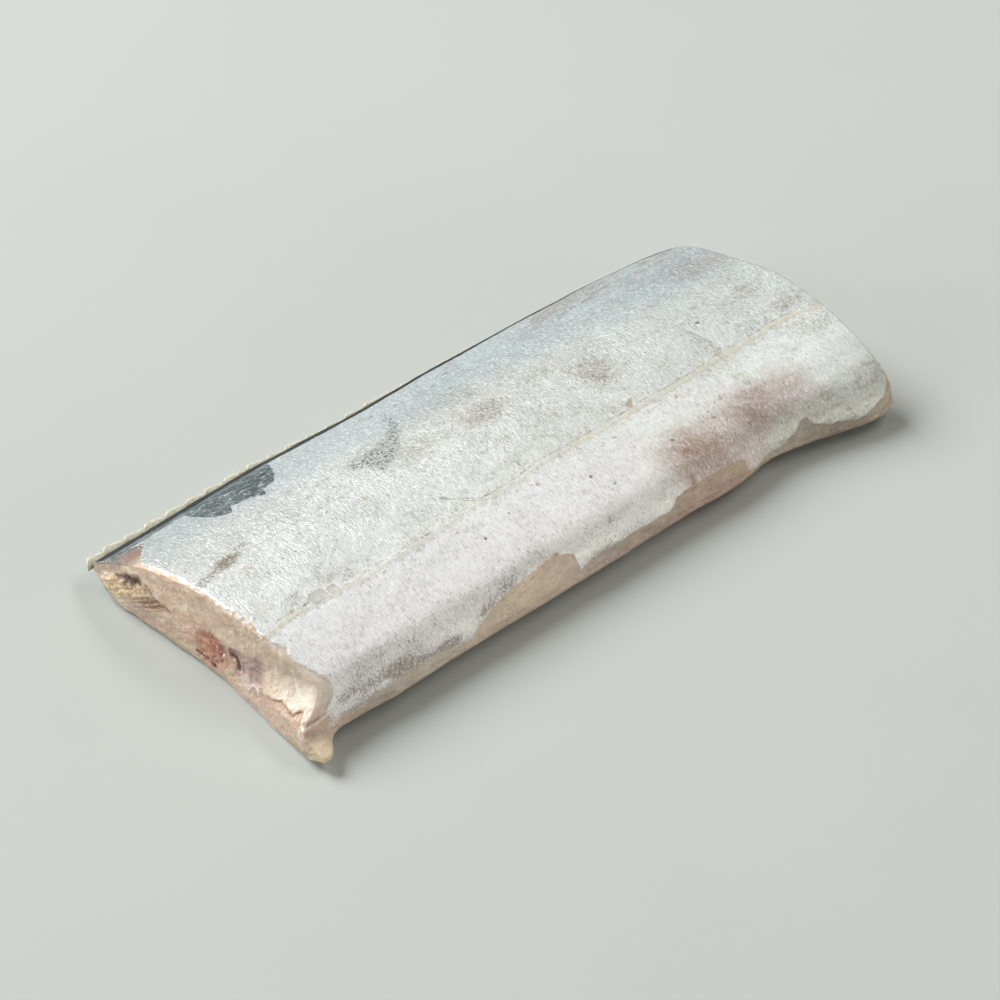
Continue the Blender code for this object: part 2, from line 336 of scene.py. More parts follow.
# brown flecks: x, y, half sizes, turn
FLECKS = [(-44, 4.5, 0.9, 0.45, 60), (-36, 3.0, 0.55, 0.9, -30),
          (-66.5, -12.0, 0.8, 0.4, 20), (-45.5, -14.5, 0.6, 0.4, 0),
          (24, -9.2, 1.3, 0.75, 40), (6.3, -10.7, 0.6, 0.4, 10),
          (11.5, -14.5, 1.1, 0.35, 35), (15, -13.8, 0.7, 0.4, -20),
          (-6, -14.5, 0.6, 0.4, 0), (-11, -14, 0.7, 0.35, 40),
          (-28, -15, 0.6, 0.35, 15), (1.7, -27, 0.8, 0.4, 30),
          (24, -28.0, 1.1, 0.7, 70), (9, 1.4, 0.6, 0.35, 30),
          (10, -2.5, 0.5, 0.3, -30), (-12.0, -3.8, 0.7, 0.3, 50),
          (33.5, -13.0, 0.6, 0.4, 30), (41.5, -17.8, 0.9, 0.5, 25),
          (37.0, -20.5, 0.7, 0.4, 0), (45.5, -24.0, 0.8, 0.45, 40),
          (30.5, -24.5, 0.9, 0.5, 35), (-1.0, 5.0, 0.6, 0.35, 40),
          (4.0, 10.5, 0.7, 0.4, 25), (18.0, 12.0, 0.8, 0.4, 30),
          (-38.0, -20.0, 0.45, 0.3, 0), (-52.0, 10.5, 0.6, 0.3, 20),
          (8.0, -22.0, 0.55, 0.35, 60), (16.5, -18.4, 0.5, 0.3, 10)]
SPECKS = [(-74.5, 9.9, 0.45, 0.3), (-37.5, 10.5, 0.5, 0.35), (-59, -0.5, 0.4, 0.3),
          (-56, -0.5, 0.4, 0.3), (-23.7, -18.7, 0.42, 0.42), (-15.8, -16.8, 0.3, 0.3),
          (4.4, -18.6, 0.42, 0.42), (25.2, -20.5, 0.38, 0.38), (52.8, 0.3, 0.6, 0.5),
          (2.0, 26.5, 0.6, 0.35), (7.5, 29.0, 0.8, 0.35), (3.0, 22.0, 0.5, 0.35),
          (-13.5, 28.0, 0.7, 0.35), (-7.5, 27.5, 0.6, 0.35), (-72.0, 21.5, 0.5, 0.25)]
TICKS = [[(4.0, 1.2), (5.0, 2.8)], [(1.4, -1.6), (2.2, -0.4)], [(2.6, -5.0), (3.4, -4.0)],
         [(-40.6, -4.2), (-39.8, -3.0)], [(-24.5, -6.5), (-22.6, -8.2)],
         [(49.5, 0.0), (50.0, -4.0), (51.0, -7.0), (50.2, -10.0), (48.2, -14.0),
          (48.5, -16.0), (47.5, -19.5)], [(50.0, 14.0), (51.3, 11.5)],
         [(47.5, 7.0), (49.0, 5.0)], [(-34.0, 13.0), (-33.6, 9.0)]]
CURL = [(-24.5, -6.5), (-22, -8.5), (-19, -11), (-17.5, -11.8)]


def skin_field(x, y, z, upper):
    """Millimetres inside the silver skin (below zero: bare flesh)."""
    f = x - line(SKIN_END, y)
    belly = z - line(BARE_BELLY, x)
    side = smooth(-24, -26, y)
    side = np.where(y < -22, 1.0, 0.0)
    f = np.where(side > 0, np.minimum(f, belly * 1.0 + (y + 22 > 0) * 9), f)
    # the underside keeps its skin
    under = np.where(y < 0, 2.2 - z, 1.5)
    return np.where(upper, f, np.where(y < -20, under, 1.5))


def rubs(x, y):
    """Grey worn places in the silver, from 0 to 1."""
    r = np.zeros(np.broadcast(x, y).shape)

    def add(cx, cy, rx, ry, turn, k, soft=0.6):
        nonlocal r
        c, s = math.cos(math.radians(turn)), math.sin(math.radians(turn))
        u = ((x - cx) * c + (y - cy) * s) / rx
        v = (-(x - cx) * s + (y - cy) * c) / ry
        r = np.maximum(r, k * (1 - smooth(1 - soft, 1 + soft, np.hypot(u, v))))

    add(-67.2, 6.4, 4.0, 2.0, 16, 1.0, 0.6)
    add(-73.2, 4.6, 4.0, 1.3, 16, 0.80)
    add(-62.6, 8.4, 3.0, 1.3, 20, 0.70)
    add(-25, 13, 6.4, 3.8, 15, 0.55, 0.5)
    add(-19, 12.5, 5.0, 4.0, 30, 0.50)
    add(-14, 7, 6.5, 3.4, 10, 0.52)
    add(-11, 15, 4.0, 4.0, 0, 0.40)
    add(0.0, 7.8, 7.4, 4.8, 20, 0.72, 0.8)
    add(-6, 11.5, 4.6, 3.4, 0, 0.58, 0.8)
    add(-17, 8.0, 6.0, 3.0, 12, 0.58, 0.8)
    add(18, 10.5, 5.4, 3.0, 8, 0.56, 0.8)
    add(-4, 20, 7.5, 6.0, 0, 0.35)
    add(2.5, 21, 3.5, 2.0, 20, 0.5)
    add(24.8, 3.0, 6.0, 6.2, 10, 0.64, 0.8)
    add(24.8, 0.2, 2.6, 3.2, 20, 0.78, 0.8)
    add(74.5, 16.5, 4.5, 4.6, 0, 0.60)
    add(69.5, 18.5, 2.5, 2.5, 0, 0.35)
    add(68.5, 3.4, 2.4, 1.8, 0, 0.75)
    add(71.0, -7, 3.6, 2.2, -8, 0.70)
    add(64.0, -7.5, 3.6, 1.4, -8, 0.35)
    add(72, -14.5, 7.0, 3.0, -10, 0.62)
    add(62.5, -16.0, 3.4, 2.4, 0, 0.45)
    add(56, 29, 4.0, 2.0, -20, 0.45)
    add(39.5, 32.2, 6.0, 2.6, 0, 0.55)
    add(-60, -26.8, 7.0, 1.6, 6, 0.50)
    add(-52, -26.0, 5.0, 1.6, 6, 0.42)
    add(-40, -25.0, 4.0, 1.6, 0, 0.35)
    add(-63, -23.0, 5.0, 1.6, 0, 0.26)
    add(32, 20, 10, 5, 0, 0.28)
    add(10, -3, 8, 3, 0, 0.30)
    add(35, -6, 10, 4, 0, 0.28)
    add(-63.5, -9.5, 1.6, 1.1, 0, 0.70)
    add(-56, -9.5, 3.2, 1.0, 10, 0.6)
    add(-52, -11.4, 2.2, 0.8, 10, 0.65)
    add(50, -12, 2.0, 6.5, 0, 0.45)
    add(44, 8, 5, 3, 30, 0.3)
    add(12, 12, 6, 3, 20, 0.35)
    add(-38, 1.5, 5, 3, 0, 0.28)
    add(-33, -16, 12, 4, 0, 0.22)
    add(5, -20, 12, 4, 0, 0.25)
    return r


# soiled, greyer places in the silver: x, y, half sizes, turn, strength
SOIL = [(25.0, 3.6, 6.5, 7.2, 0, 1.0), (31, 9, 5, 3, 0, 0.55), (47, 33, 14, 2.4, 0, 0.9),
        (33, 34.5, 7, 1.5, 0, 0.7), (56, 27, 9, 3.2, -8, 0.6), (69.5, 18, 8, 5.2, 0, 0.90),
        (69.5, 8, 4, 4, 0, 0.5), (68, 1.6, 6, 1.8, 6, 0.9), (73, -6.5, 5, 2.2, 0, 0.85),
        (61, -6.0, 5, 1.6, 0, 0.45), (49, -6, 2.2, 5.5, 12, 0.6), (44, -13, 4, 3, 0, 0.45),
        (36, -14, 6, 2.2, 0, 0.45), (72, -17, 6, 3, 0, 0.65), (62, -17, 6, 2.4, 0, 0.45),
        (0, 17, 9, 5.5, 0, 0.55), (-10, 17, 4, 6, 0, 0.6), (0, 8, 8, 4.0, 0, 0.90),
        (17, 10.5, 7, 3.4, 0, 0.65), (-61, -26, 12, 2.4, 0, 0.6), (-47, -22, 9, 3, 0, 0.35),
        (10, -17, 14, 4, 0, 0.30), (-19, 9.5, 8, 4, 10, 0.70), (-67, 6.5, 5.0, 2.0, 14, 0.85),
        (-38, 2, 8, 3, 0, 0.25), (28, -23, 12, 5, 0, 0.55), (45, -22, 11, 5.5, 0, 0.75),
        (-71, 13, 3.4, 2.2, 0, 0.35), (-54, -10.0, 8, 1.2, 8, 0.55), (-20, -24, 14, 2.5, 0, 0.30),
        (35, 14, 9, 3, 0, 0.30), (18, 20, 8, 3, 0, 0.25)]


def soiled(x, y):
    n = fbm(x / 3.6, y / 3.0, 0, 4, 211)
    out = np.zeros(np.broadcast(x, y).shape)
    for cx, cy, rx, ry, turn, k in SOIL:
        c, s = math.cos(math.radians(turn)), math.sin(math.radians(turn))
        u = ((x - cx) * c + (y - cy) * s) / rx
        v = (-(x - cx) * s + (y - cy) * c) / ry
        out = np.maximum(out, k * (1 - smooth(0.35, 1.35, np.hypot(u, v) + 0.45 * n)))
    return out


def freckles(x, y):
    """Where small brown and grey specks gather, from 0 to 1."""
    n = fbm(x / 5, y / 5, 0, 4, 131)
    f = np.zeros(np.broadcast(x, y).shape)
    for cx, cy, rx, ry, k in ((42, -22.5, 20, 6.0, 1.0), (28, -26, 10, 4, 0.9),
                              (68, -24.0, 5, 2.0, 0.8), (-52, -27.5, 18, 3.0, 0.9),
                              (-20, -25.0, 14, 3.0, 0.8), (2, -28, 10, 2.5, 1.0),
                              (50, 22, 26, 14, 0.45), (40, -6, 16, 6, 0.5),
                              (8, -6, 22, 5, 0.45), (-8, 8, 20, 8, 0.4)):
        d = np.hypot((x - cx) / rx, (y - cy) / ry) + 0.5 * n
        f = np.maximum(f, k * (1 - smooth(0.3, 1.3, d)))
    lat = np.abs(y - curve(LATERAL, x))
    f = np.maximum(f, 0.6 * np.exp(-((lat - 1.6) / 1.4) ** 2) * smooth(-60, -50, x))
    return np.clip(f, 0, 1)


# ============================================================ surface skin ====
SKIN_NEAR = srgb(216, 218, 216)
SKIN_MID = srgb(215, 218, 214)
SKIN_FAR = srgb(205, 211, 208)
SKIN_BLUE = srgb(187, 200, 206)
SKIN_PINK = srgb(158, 134, 120)
SKIN_GREY = srgb(150, 152, 149)
SKIN_WARM = srgb(205, 198, 184)
TAN_BARE = srgb(200, 184, 160)
FLESH = srgb(214, 188, 166)
FLESH_PALE = srgb(224, 206, 186)
FLESH_RED = srgb(190, 138, 114)
FLESH_BROWN = srgb(138, 104, 78)
FLESH_LILAC = srgb(184, 155, 148)
FLESH_TIP = srgb(222, 204, 170)
LENS = srgb(224, 211, 196)


def skin_colour(x, y, z):
    """Broad colour of the silver skin, with painted light and shade, before its fine texture."""
    n1 = fbm(x / 14, y / 9, z / 14, 4, 11)
    n2 = fbm(x / 3.2, y / 5.5, z / 5, 4, 23)
    c = mix(SKIN_NEAR, SKIN_MID, smooth(-70, 10, x + 6 * n1))
    c = mix(c, SKIN_FAR, 0.75 * smooth(15, 75, x + 8 * n1))
    blue = smooth(11, 25, y + 5 * n1 + 0.05 * (x + 20)) * (0.70 + 0.20 * smooth(-30, 60, x))
    c = mix(c, SKIN_BLUE, np.clip(blue, 0, 1))
    n3 = fbm(x / 2.2 + 0.5 * y, y / 3.0, z / 5, 4, 29)
    wx, wy = x + 3.0 * n1 + 1.6 * n3, y + 2.0 * fbm(x / 4, y / 4, 0, 4, 37)

    def oval(cx, cy, rx, ry, k, w=0.35):
        return k * (1 - smooth(0.1, 1.4, np.hypot((wx - cx) / rx, (wy - cy) / ry) + w * n2))

    haze = (smooth(10, 26, x + 4 * n1) * (1 - smooth(58, 66, x + 3 * n2))
            * smooth(-15.5, -23.5, y + 2.5 * n1))
    c = mix(c, srgb(176, 162, 156), np.clip(haze * (0.72 + 0.35 * n2), 0, 1))
    core = np.maximum(oval(46.5, -22.5, 8.0, 5.5, 0.95), oval(29.5, -25.0, 9.5, 5.0, 1.15))
    core = np.maximum(core, oval(56.0, -20.5, 6.0, 3.0, 0.6))
    core = np.maximum(core, oval(37.0, -26.0, 7.0, 4.0, 0.7))
    core = np.maximum(core, oval(33.0, -29.0, 6.0, 2.2, 0.8))
    c = mix(c, SKIN_PINK, np.clip(core * (0.62 + 0.7 * n2 + 0.4 * n3), 0, 1))
    brown = np.maximum(oval(46.5, -23.5, 3.0, 2.8, 0.6), oval(30.0, -24.2, 6.0, 3.2, 0.75))
    brown = np.maximum(brown, oval(34.5, -30.0, 4.0, 1.6, 0.9))
    c = mix(c, srgb(142, 110, 90), np.clip(brown * (0.60 + 1.0 * n3), 0, 1))
    mauve = oval(49.5, -20.5, 5.5, 4.5, 0.75)
    c = mix(c, srgb(150, 130, 126), np.clip(mauve * (0.55 + 0.9 * n3), 0, 1))
    warm = smooth(-20.5, -27, y) * (1 - smooth(5, 25, x)) * 0.30
    warm = np.maximum(warm, oval(-67, 2.4, 2.4, 3.0, 0.55))
    warm = np.maximum(warm, oval(-71, -7.5, 2.4, 2.0, 0.35))
    warm = np.maximum(warm, oval(8, 17, 9, 4, 0.35))
    c = mix(c, SKIN_WARM, np.clip(warm + 0.10 * n1, 0, 1))
    murk = np.maximum(oval(68, 22, 9, 7, 0.35), oval(46, 31, 12, 3.4, 0.6))
    c = mix(c, srgb(174, 168, 164), np.clip(murk, 0, 1))
    veins = smooth(0.05, 0.32, fbm(x / 5.5 + 0.2 * y, y / 1.1, 0, 4, 68)) * smooth(24, 28, y) * smooth(20, 34, x)
    c = mix(c, srgb(158, 148, 142), np.clip(0.62 * veins, 0, 1))
    blot = np.maximum(oval(-3, 20, 8, 6, 0.55), oval(3, 24.5, 5, 4, 0.4))
    c = mix(c, srgb(170, 180, 184), np.clip(blot, 0, 1))
    smoothfar = smooth(40, 50, x + 2 * n2) * smooth(-25.8, -28.0, y + 0.8 * n3)
    c = mix(c, srgb(190, 194, 184), 0.85 * smoothfar)
    grit = smooth(0.12, 0.45, fbm(x / 1.4, y / 0.8 + z / 1.2, 0, 4, 67)) * smoothfar
    c = mix(c, srgb(140, 138, 126), 0.6 * grit)
    # painted light and shade: darker towards the back and paler towards the belly, partly the fish's own countershading
    # and partly standing in for the belly turning away from the lamps; the back of the near end and the far belly are
    # painted darker too
    light_and_countershade = line([(-33, 1.45), (-27, 1.45), (-22, 1.44), (-14, 1.39), (-8, 1.17), (0, 1.04),
                 (12, 0.90), (24, 0.88), (36, 0.84)], y)
    light_and_countershade = light_and_countershade * (1 - 0.15 * smooth(36, 52, x) * smooth(-18, -24, y))
    light_and_countershade = light_and_countershade * (1 - 0.14 * smooth(-30, -66, x) * smooth(-10, 8, y))
    return np.minimum(c * (light_and_countershade * (1 + 0.045 * n2 + 0.03 * n1))[..., None], 0.93)


def flesh_colour(x, y, z, depth):
    """Colour of bare flesh, on the cuts and where skin has gone."""
    n1 = fbm(y / 5, z / 3, x / 6, 4, 41)
    n2 = fbm(y / 1.3, z / 1.0, x / 2, 3, 53)
    c = mix(FLESH, FLESH_PALE, np.clip(0.45 + 0.6 * n1, 0, 1))
    rings = np.sin((depth * 1.0 + 0.6 * n1) * 2 * math.pi / 0.95)
    c = c * (1 + 0.030 * rings + 0.05 * n2)[..., None]
    tan = smooth(-20, -30, y) * (1 - smooth(6, 9, z)) * (x < 60)
    c = mix(c, srgb(200, 182, 156), 0.8 * tan)
    # bare strip along the belly edge, away from the cut
    bare = smooth(-72, -66, x) * (1 - smooth(78.2, 78.7, x)) * (y < 0)
    keys = [(-72, (196, 188, 168)), (-44, (200, 194, 174)), (-36, (212, 194, 170)),
            (-20, (226, 206, 180)), (-10, (214, 196, 174)), (-4, (186, 170, 156)),
            (14, (184, 164, 146)), (26, (196, 166, 142)), (36, (190, 164, 140)),
            (42, (192, 184, 160)), (54, (166, 160, 138)), (62, (156, 144, 124)),
            (72, (166, 154, 130)), (80, (176, 162, 134))]
    kx = [k for k, _ in keys]
    kc = np.array([srgb(*v) for _, v in keys])
    tan_x = np.stack([np.interp(x + 3 * n1, kx, kc[:, i]) for i in range(3)], -1)
    # painted shade: the bare strip darkens and turns purplish towards its lower edge, where the belly turns under
    low = smooth(5.4, 3.2, z + 0.8 * n1)
    tan_x = mix(tan_x, tan_x * np.array([0.80, 0.70, 0.68]), 0.7 * low)
    cream = smooth(0.22, 0.5, fbm(x / 1.6, z / 0.7, 2.0, 3, 64)) * smooth(6.5, 4.5, z)
    tan_x = mix(tan_x, srgb(206, 200, 178), 0.55 * cream)
    c = mix(c, mix(tan_x, srgb(208, 204, 196), 0.12) * (1.02 + 0.16 * n1 + 0.16 * n2)[..., None], bare)
    return c


# the seam between the two fillets on the near cut, back to belly: (y, z)
SEAM = [(27.0, 8.0), (24.0, 8.2), (20.6, 8.6), (17.5, 8.5), (15.0, 8.0),
        (12.0, 7.5), (9.0, 7.7), (6.0, 8.7), (2.0, 9.7), (-2.0, 9.9),
        (-5.5, 9.6), (-8.5, 10.3), (-12.2, 11.2), (-14.8, 9.9), (-15.4, 7.4),
        (-15.6, 5.6), (-19.4, 6.7), (-21.8, 7.7), (-24.6, 7.5), (-25.8, 7.5),
        (-26.5, 8.2), (-27.4, 8.3), (-28.2, 7.3), (-29.2, 7.4), (-30.2, 8.1),
        (-31.0, 8.3), (-32.0, 7.6)]
HOLLOW = [(27.2, 7.6), (24.6, 9.3), (20.8, 11.0), (19.6, 9.8), (20.6, 8.4), (24.5, 6.9)]
GOLD = [(32.6, 3.6), (31.0, 5.6), (28.6, 7.2), (24.8, 7.4), (20.5, 8.8),
        (16.6, 8.8), (17.4, 7.6), (20.5, 5.2), (25.0, 3.2), (29.8, 2.2)]
STREAK = [(22.4, 4.7), (18.9, 6.6), (15.6, 8.1), (11.8, 7.5), (14.6, 6.3), (18.1, 4.9)]
MAUVE = [(36.0, 4.4), (33.5, 7.2), (30.0, 10.4), (26.0, 14.2), (24.6, 12.4),
         (26.2, 9.4), (30.0, 7.2), (33.0, 4.6)]
RED = [(4.0, 7.0), (2.2, 9.1), (-0.4, 9.3), (-3.2, 8.9), (-4.8, 7.4), (-4.4, 4.6),
       (-2.6, 3.2), (-0.2, 2.0), (1.9, 1.6), (3.6, 2.4), (3.6, 4.6)]
LILAC = [(-8.4, 8.8), (-12.2, 11.0), (-14.6, 9.7), (-15.0, 7.0), (-14.0, 5.2),
         (-11.8, 3.8), (-9.1, 4.4), (-8.2, 6.2)]
LENS_FACE = [(-20.6, 12.6), (-22.0, 10.3), (-23.6, 9.5), (-26.4, 9.0), (-28.0, 9.1),
             (-29.4, 9.7), (-31.5, 10.2), (-32, 16), (-22, 17)]


# torn bits of white membrane at the belly side: (points, width, height)
FRAYS = [([(-31.2, 7.6), (-31.5, 8.4), (-31.9, 9.2)], 0.26, 0.22),
         ([(-30.6, 6.6), (-31.2, 7.6), (-31.8, 8.3)], 0.22, 0.20),
         ([(-28.6, 7.2), (-29.6, 6.8), (-30.9, 7.0)], 0.30, 0.26),
         ([(-29.0, 6.2), (-29.4, 5.2), (-30.2, 4.9)], 0.20, 0.22)]


def shade_line(y, z, pts, width):
    return np.exp(-(stroke(y, z, pts) / width) ** 2)


def below_seam(y, z):
    """Millimetres below the seam; negative above it."""
    return line(SEAM, y) - z


def muscle_rings(y, z):
    """Bands of muscle, curved round a few centres, from -1 to 1."""
    out = np.zeros(np.broadcast(y, z).shape)
    wob = 0.25 * fbm(y / 2.2, z / 2.2, 5.0, 3, 201)
    for cy, cz, major, ratio, turn, reach in (
            (11.1, 12.9, 1.0, 0.42, -31, 3.6), (-7.4, 14.7, 1.0, 0.55, -8, 3.2),
            (-21.0, 12.4, 1.0, 0.5, 24, 2.8), (13.0, 4.2, 1.0, 0.55, -20, 2.6),
            (-10.5, 2.0, 1.0, 0.4, 8, 2.2), (24.0, 10.8, 1.0, 0.5, -50, 1.8)):
        c, s = math.cos(math.radians(turn)), math.sin(math.radians(turn))
        u = (y - cy) * c + (z - cz) * s
        v = (-(y - cy) * s + (z - cz) * c) / ratio
        r = np.hypot(u, v) * major
        out = out + np.cos((r / 1.25 + wob * 2) * 2 * math.pi) * np.exp(-(r / (reach * 1.3)) ** 2)
    return out


def face_paint(c, y, z, side):
    """Blood, bone surround and membranes on a cut face, with some painted shade and highlights; side 1 is the near cut.
    """
    n = fbm(y / 1.6, z / 1.3, 0.0, 4, 71)
    n5 = fbm(y / 0.55, z / 0.5, 0.0, 3, 73)

    def dab(col, field, soft, k, rough=0.45):
        nonlocal c
        c = mix(c, col, np.clip(smooth(-soft, soft, field + rough * n) * k, 0, 1))

    def pen(col, pts, width, k):
        nonlocal c
        c = mix(c, col, np.clip(shade_line(y, z, pts, width) * k * (0.8 + 0.5 * n5), 0, 1))

    if side > 0:
        low = below_seam(y, z)
        rings = muscle_rings(y, z)
        upper = smooth(0.2, -0.4, low)
        c = mix(c, c * np.array([1.02, 0.972, 0.945]), upper * smooth(-4, 8, y))
        c = c * (1 + 0.13 * rings)[..., None]
        n7 = fbm(y / 2.6, z / 1.5, 7.0, 4, 75)
        c = mix(c, c * np.array([0.89, 0.82, 0.77]), np.clip(0.08 + 1.3 * n7, 0, 0.75))
        c = mix(c, srgb(236, 224, 210), np.clip(-0.15 - 1.5 * n7, 0, 0.55))
        c = mix(c, srgb(214, 200, 182), 0.75 * upper * smooth(-13, -20, y))
        # the lower fillet, pinker and darker just under the seam
        c = mix(c, srgb(198, 170, 148), 0.55 * smooth(-0.2, 0.6, low) * smooth(24, 19, y))
        c = mix(c, srgb(176, 150, 140), 0.6 * smooth(-1.2, 0.8, spot(y, z, 19.5, 3.0, 3.0, 1.6, -12) + 0.5 * n))
        c = mix(c, srgb(214, 196, 164), 0.6 * smooth(-0.8, 0.8, spot(y, z, 8.6, 1.6, 4.0, 1.3, -6) + 0.4 * n))
        c = mix(c, srgb(190, 158, 148), 0.55 * smooth(-0.8, 0.8, spot(y, z, -17.5, 4.0, 3.2, 1.6) + 0.5 * n))
        dab(srgb(172, 150, 140), patch(y, z, MAUVE), 0.5, 0.75, 0.8)
        dab(srgb(218, 192, 152), patch(y, z, GOLD), 0.9, 0.80, 0.7)
        dab(srgb(158, 118, 88), patch(y, z, [(28.4, 6.6), (24, 8.0), (20, 8.9), (18, 8.0), (22, 6.4)]), 0.9, 0.65, 1.0)
        dab(srgb(128, 94, 68), patch(y, z, HOLLOW), 0.8, 0.80, 1.1)
        dab(srgb(84, 56, 46), patch(y, z, [(25.6, 7.8), (23.4, 9.0), (21.2, 9.8), (20.8, 8.9), (24.0, 7.4)]), 0.5, 0.75, 0.9)
        pen(srgb(70, 46, 40), [(24.6, 8.4), (22.2, 8.8), (20.2, 9.0), (18.6, 8.2)], 0.32, 0.75)
        bead = smooth(0.30, 0.62, fbm(y / 0.7, z / 0.62, 4.0, 2, 91)) * smooth(-0.6, 0.6, patch(y, z, GOLD))
        c = mix(c, srgb(236, 214, 176), 0.75 * bead)
        dab(srgb(146, 106, 80), patch(y, z, STREAK), 0.5, 0.72, 0.7)
        pen(srgb(110, 72, 54), [(19.5, 6.8), (16.8, 8.0), (14.2, 7.9), (12.0, 7.3)], 0.24, 0.8)
        pen(srgb(128, 90, 66), [(20.6, 5.9), (17.8, 7.0), (15.2, 7.3)], 0.22, 0.6)
        pen(srgb(70, 46, 40), [(18.6, 9.9), (17.4, 9.2), (16.8, 8.3)], 0.30, 0.8)
        dab(srgb(176, 96, 70), spot(y, z, 30.7, 2.3, 0.9, 0.5), 0.25, 0.8)
        # painted shade with the skin's edge: a dark olive line along the foot of the cut at the back
        dab(srgb(122, 118, 104), 0.8 - stroke(y, z, [(35.6, 3.6), (34.2, 2.4), (32.2, 1.7)]), 0.35, 0.7)
        # translucent oval, then the blood round the backbone
        dab(srgb(204, 172, 152), spot(y, z, 5.8, 5.6, 2.1, 2.0, -20), 0.4, 0.75)
        pen(srgb(228, 206, 188), [(7.9, 5.4), (7.3, 7.0), (5.8, 7.7), (4.4, 7.4)], 0.24, 0.6)
        dab(srgb(204, 160, 138), patch(y, z, RED), 2.4, 0.85, 0.9)
        dab(FLESH_RED, patch(y, z, RED), 1.5, 0.88, 1.1)
        dab(srgb(158, 92, 66), patch(y, z, [(2.6, 8.2), (-0.4, 8.9), (-3.4, 8.4), (-4.4, 6.6), (-2.0, 5.6), (1.6, 6.4)]), 0.8, 0.65, 0.9)
        dab(srgb(206, 162, 134), spot(y, z, 1.4, 6.6, 1.1, 0.8), 0.4, 0.6)
        pen(srgb(104, 44, 36), [(0.6, 9.3), (-2.2, 9.2), (-4.4, 8.2)], 0.28, 0.7)
        dab(srgb(120, 56, 46), spot(y, z, -0.2, 2.5, 1.3, 0.5, 8), 0.4, 0.8)
        dab(srgb(52, 24, 26), 0.34 - stroke(y, z, [(4.1, 2.7), (3.4, 2.5), (2.4, 2.6)]), 0.16, 0.95, 0.2)
        dab(srgb(84, 28, 28), spot(y, z, -1.0, 2.1, 0.5, 0.32), 0.16, 0.9, 0.2)
        dab(srgb(132, 88, 96), spot(y, z, -7.6, 8.9, 2.0, 1.3, 10), 0.8, 0.8)
        dab(srgb(110, 48, 46), 0.8 - stroke(y, z, [(-5.6, 8.6), (-7.3, 8.4), (-8.3, 7.2), (-8.4, 5.6)]), 0.5, 0.75)
        dab(srgb(36, 16, 24), 0.52 - stroke(y, z, [(-6.2, 7.9), (-7.4, 8.0), (-8.1, 7.2), (-8.4, 6.2)]), 0.2, 1.0, 0.3)
        dab(srgb(206, 182, 172), patch(y, z, LILAC), 2.2, 0.75, 0.8)
        dab(FLESH_LILAC, patch(y, z, LILAC), 1.2, 0.85, 0.9)
        dab(srgb(160, 128, 130), spot(y, z, -13.4, 8.8, 1.9, 2.4), 0.8, 0.5)
        dab(srgb(222, 206, 202), spot(y, z, -10.2, 5.0, 1.5, 1.5), 0.9, 0.65)
        # painted highlights: near-white lines along the raised folds of the lilac membrane
        pen(srgb(236, 224, 218), [(-12.0, 3.8), (-12.4, 4.8), (-13.3, 5.3), (-14.3, 5.2), (-14.8, 4.4)], 0.20, 1.0)
        pen(srgb(232, 218, 212), [(-12.7, 6.6), (-13.2, 5.9), (-14.2, 5.9), (-15.2, 6.3)], 0.16, 0.9)
        pen(srgb(170, 128, 124), [(-13.0, 4.4), (-13.8, 4.3), (-14.4, 3.6)], 0.35, 0.6)
        # belly seam: painted highlight on the lip above, painted orange-brown shadow below
        run = smooth(-15.8, -20, y)
        seam_shadow = np.exp(-((low - 0.35) / 0.42) ** 2) * run
        c = mix(c, srgb(160, 116, 84), np.clip(0.85 * seam_shadow * (0.85 + 0.4 * n5), 0, 1))
        lip = np.exp(-((low + 0.30) / 0.26) ** 2) * run
        c = mix(c, srgb(232, 216, 194), np.clip(0.60 * lip, 0, 1))
        for pts, w, h in FRAYS:
            c = mix(c, srgb(244, 238, 226), np.clip(shade_line(y, z, pts, w * 0.9) * 0.95, 0, 1))
        dab(srgb(176, 132, 98), spot(y, z, -33.0, 6.4, 1.6, 0.7, -10), 0.5, 0.75)
        dab(srgb(190, 166, 128), spot(y, z, -28.0, 1.4, 2.6, 1.4), 0.7, 0.6)
        dab(srgb(198, 170, 146), spot(y, z, -24.0, 4.2, 3.4, 1.8), 0.9, 0.5)
    else:
        c = mix(c, srgb(220, 196, 176), 0.55 * smooth(7.0, 10.5, z + 0.8 * n))
        c = mix(c, srgb(204, 172, 152), 0.5 * smooth(5.5, 3.0, z + 0.8 * n))
        c = mix(c, srgb(236, 220, 204), 0.5 * smooth(0.1, 0.6, fbm(y / 3.0, z / 1.6, 3.0, 4, 77)))
        dab(srgb(208, 162, 140), spot(y, z, -4.6, 7.0, 6.4, 4.4), 1.6, 0.7)
        dab(FLESH_RED, spot(y, z, -4.6, 7.2, 4.6, 3.4), 1.4, 0.8)
        dab(srgb(96, 48, 40), spot(y, z, -9.0, 7.6, 1.1, 0.7), 0.3, 0.9)
        dab(FLESH_LILAC, spot(y, z, -14.0, 6.6, 4.5, 2.0), 0.9, 0.7)
        pen(srgb(150, 112, 92), [(-16, 6.4), (-22, 6.0), (-28, 5.0), (-31, 4.2)], 0.45, 0.75)
        pen(srgb(176, 138, 108), [(2, 7.4), (12, 7.2), (22, 7.0), (30, 6.8)], 0.5, 0.6)
        dab(srgb(150, 112, 84), patch(y, z, [(28, 6.0), (24, 8.6), (19, 9.6), (18, 8.0), (23, 6.0)]), 0.8, 0.7)
        c = c * (1.14 + 0.07 * muscle_rings(y, z))[..., None]
        pen(srgb(178, 134, 112), [(-13, 9.2), (-6, 10.8), (4, 11.0), (14, 10.2), (22, 8.8)], 0.35, 0.5)
        pen(srgb(182, 140, 118), [(-14, 3.6), (-6, 2.6), (4, 2.4), (14, 3.2), (22, 4.4)], 0.35, 0.5)
    return c


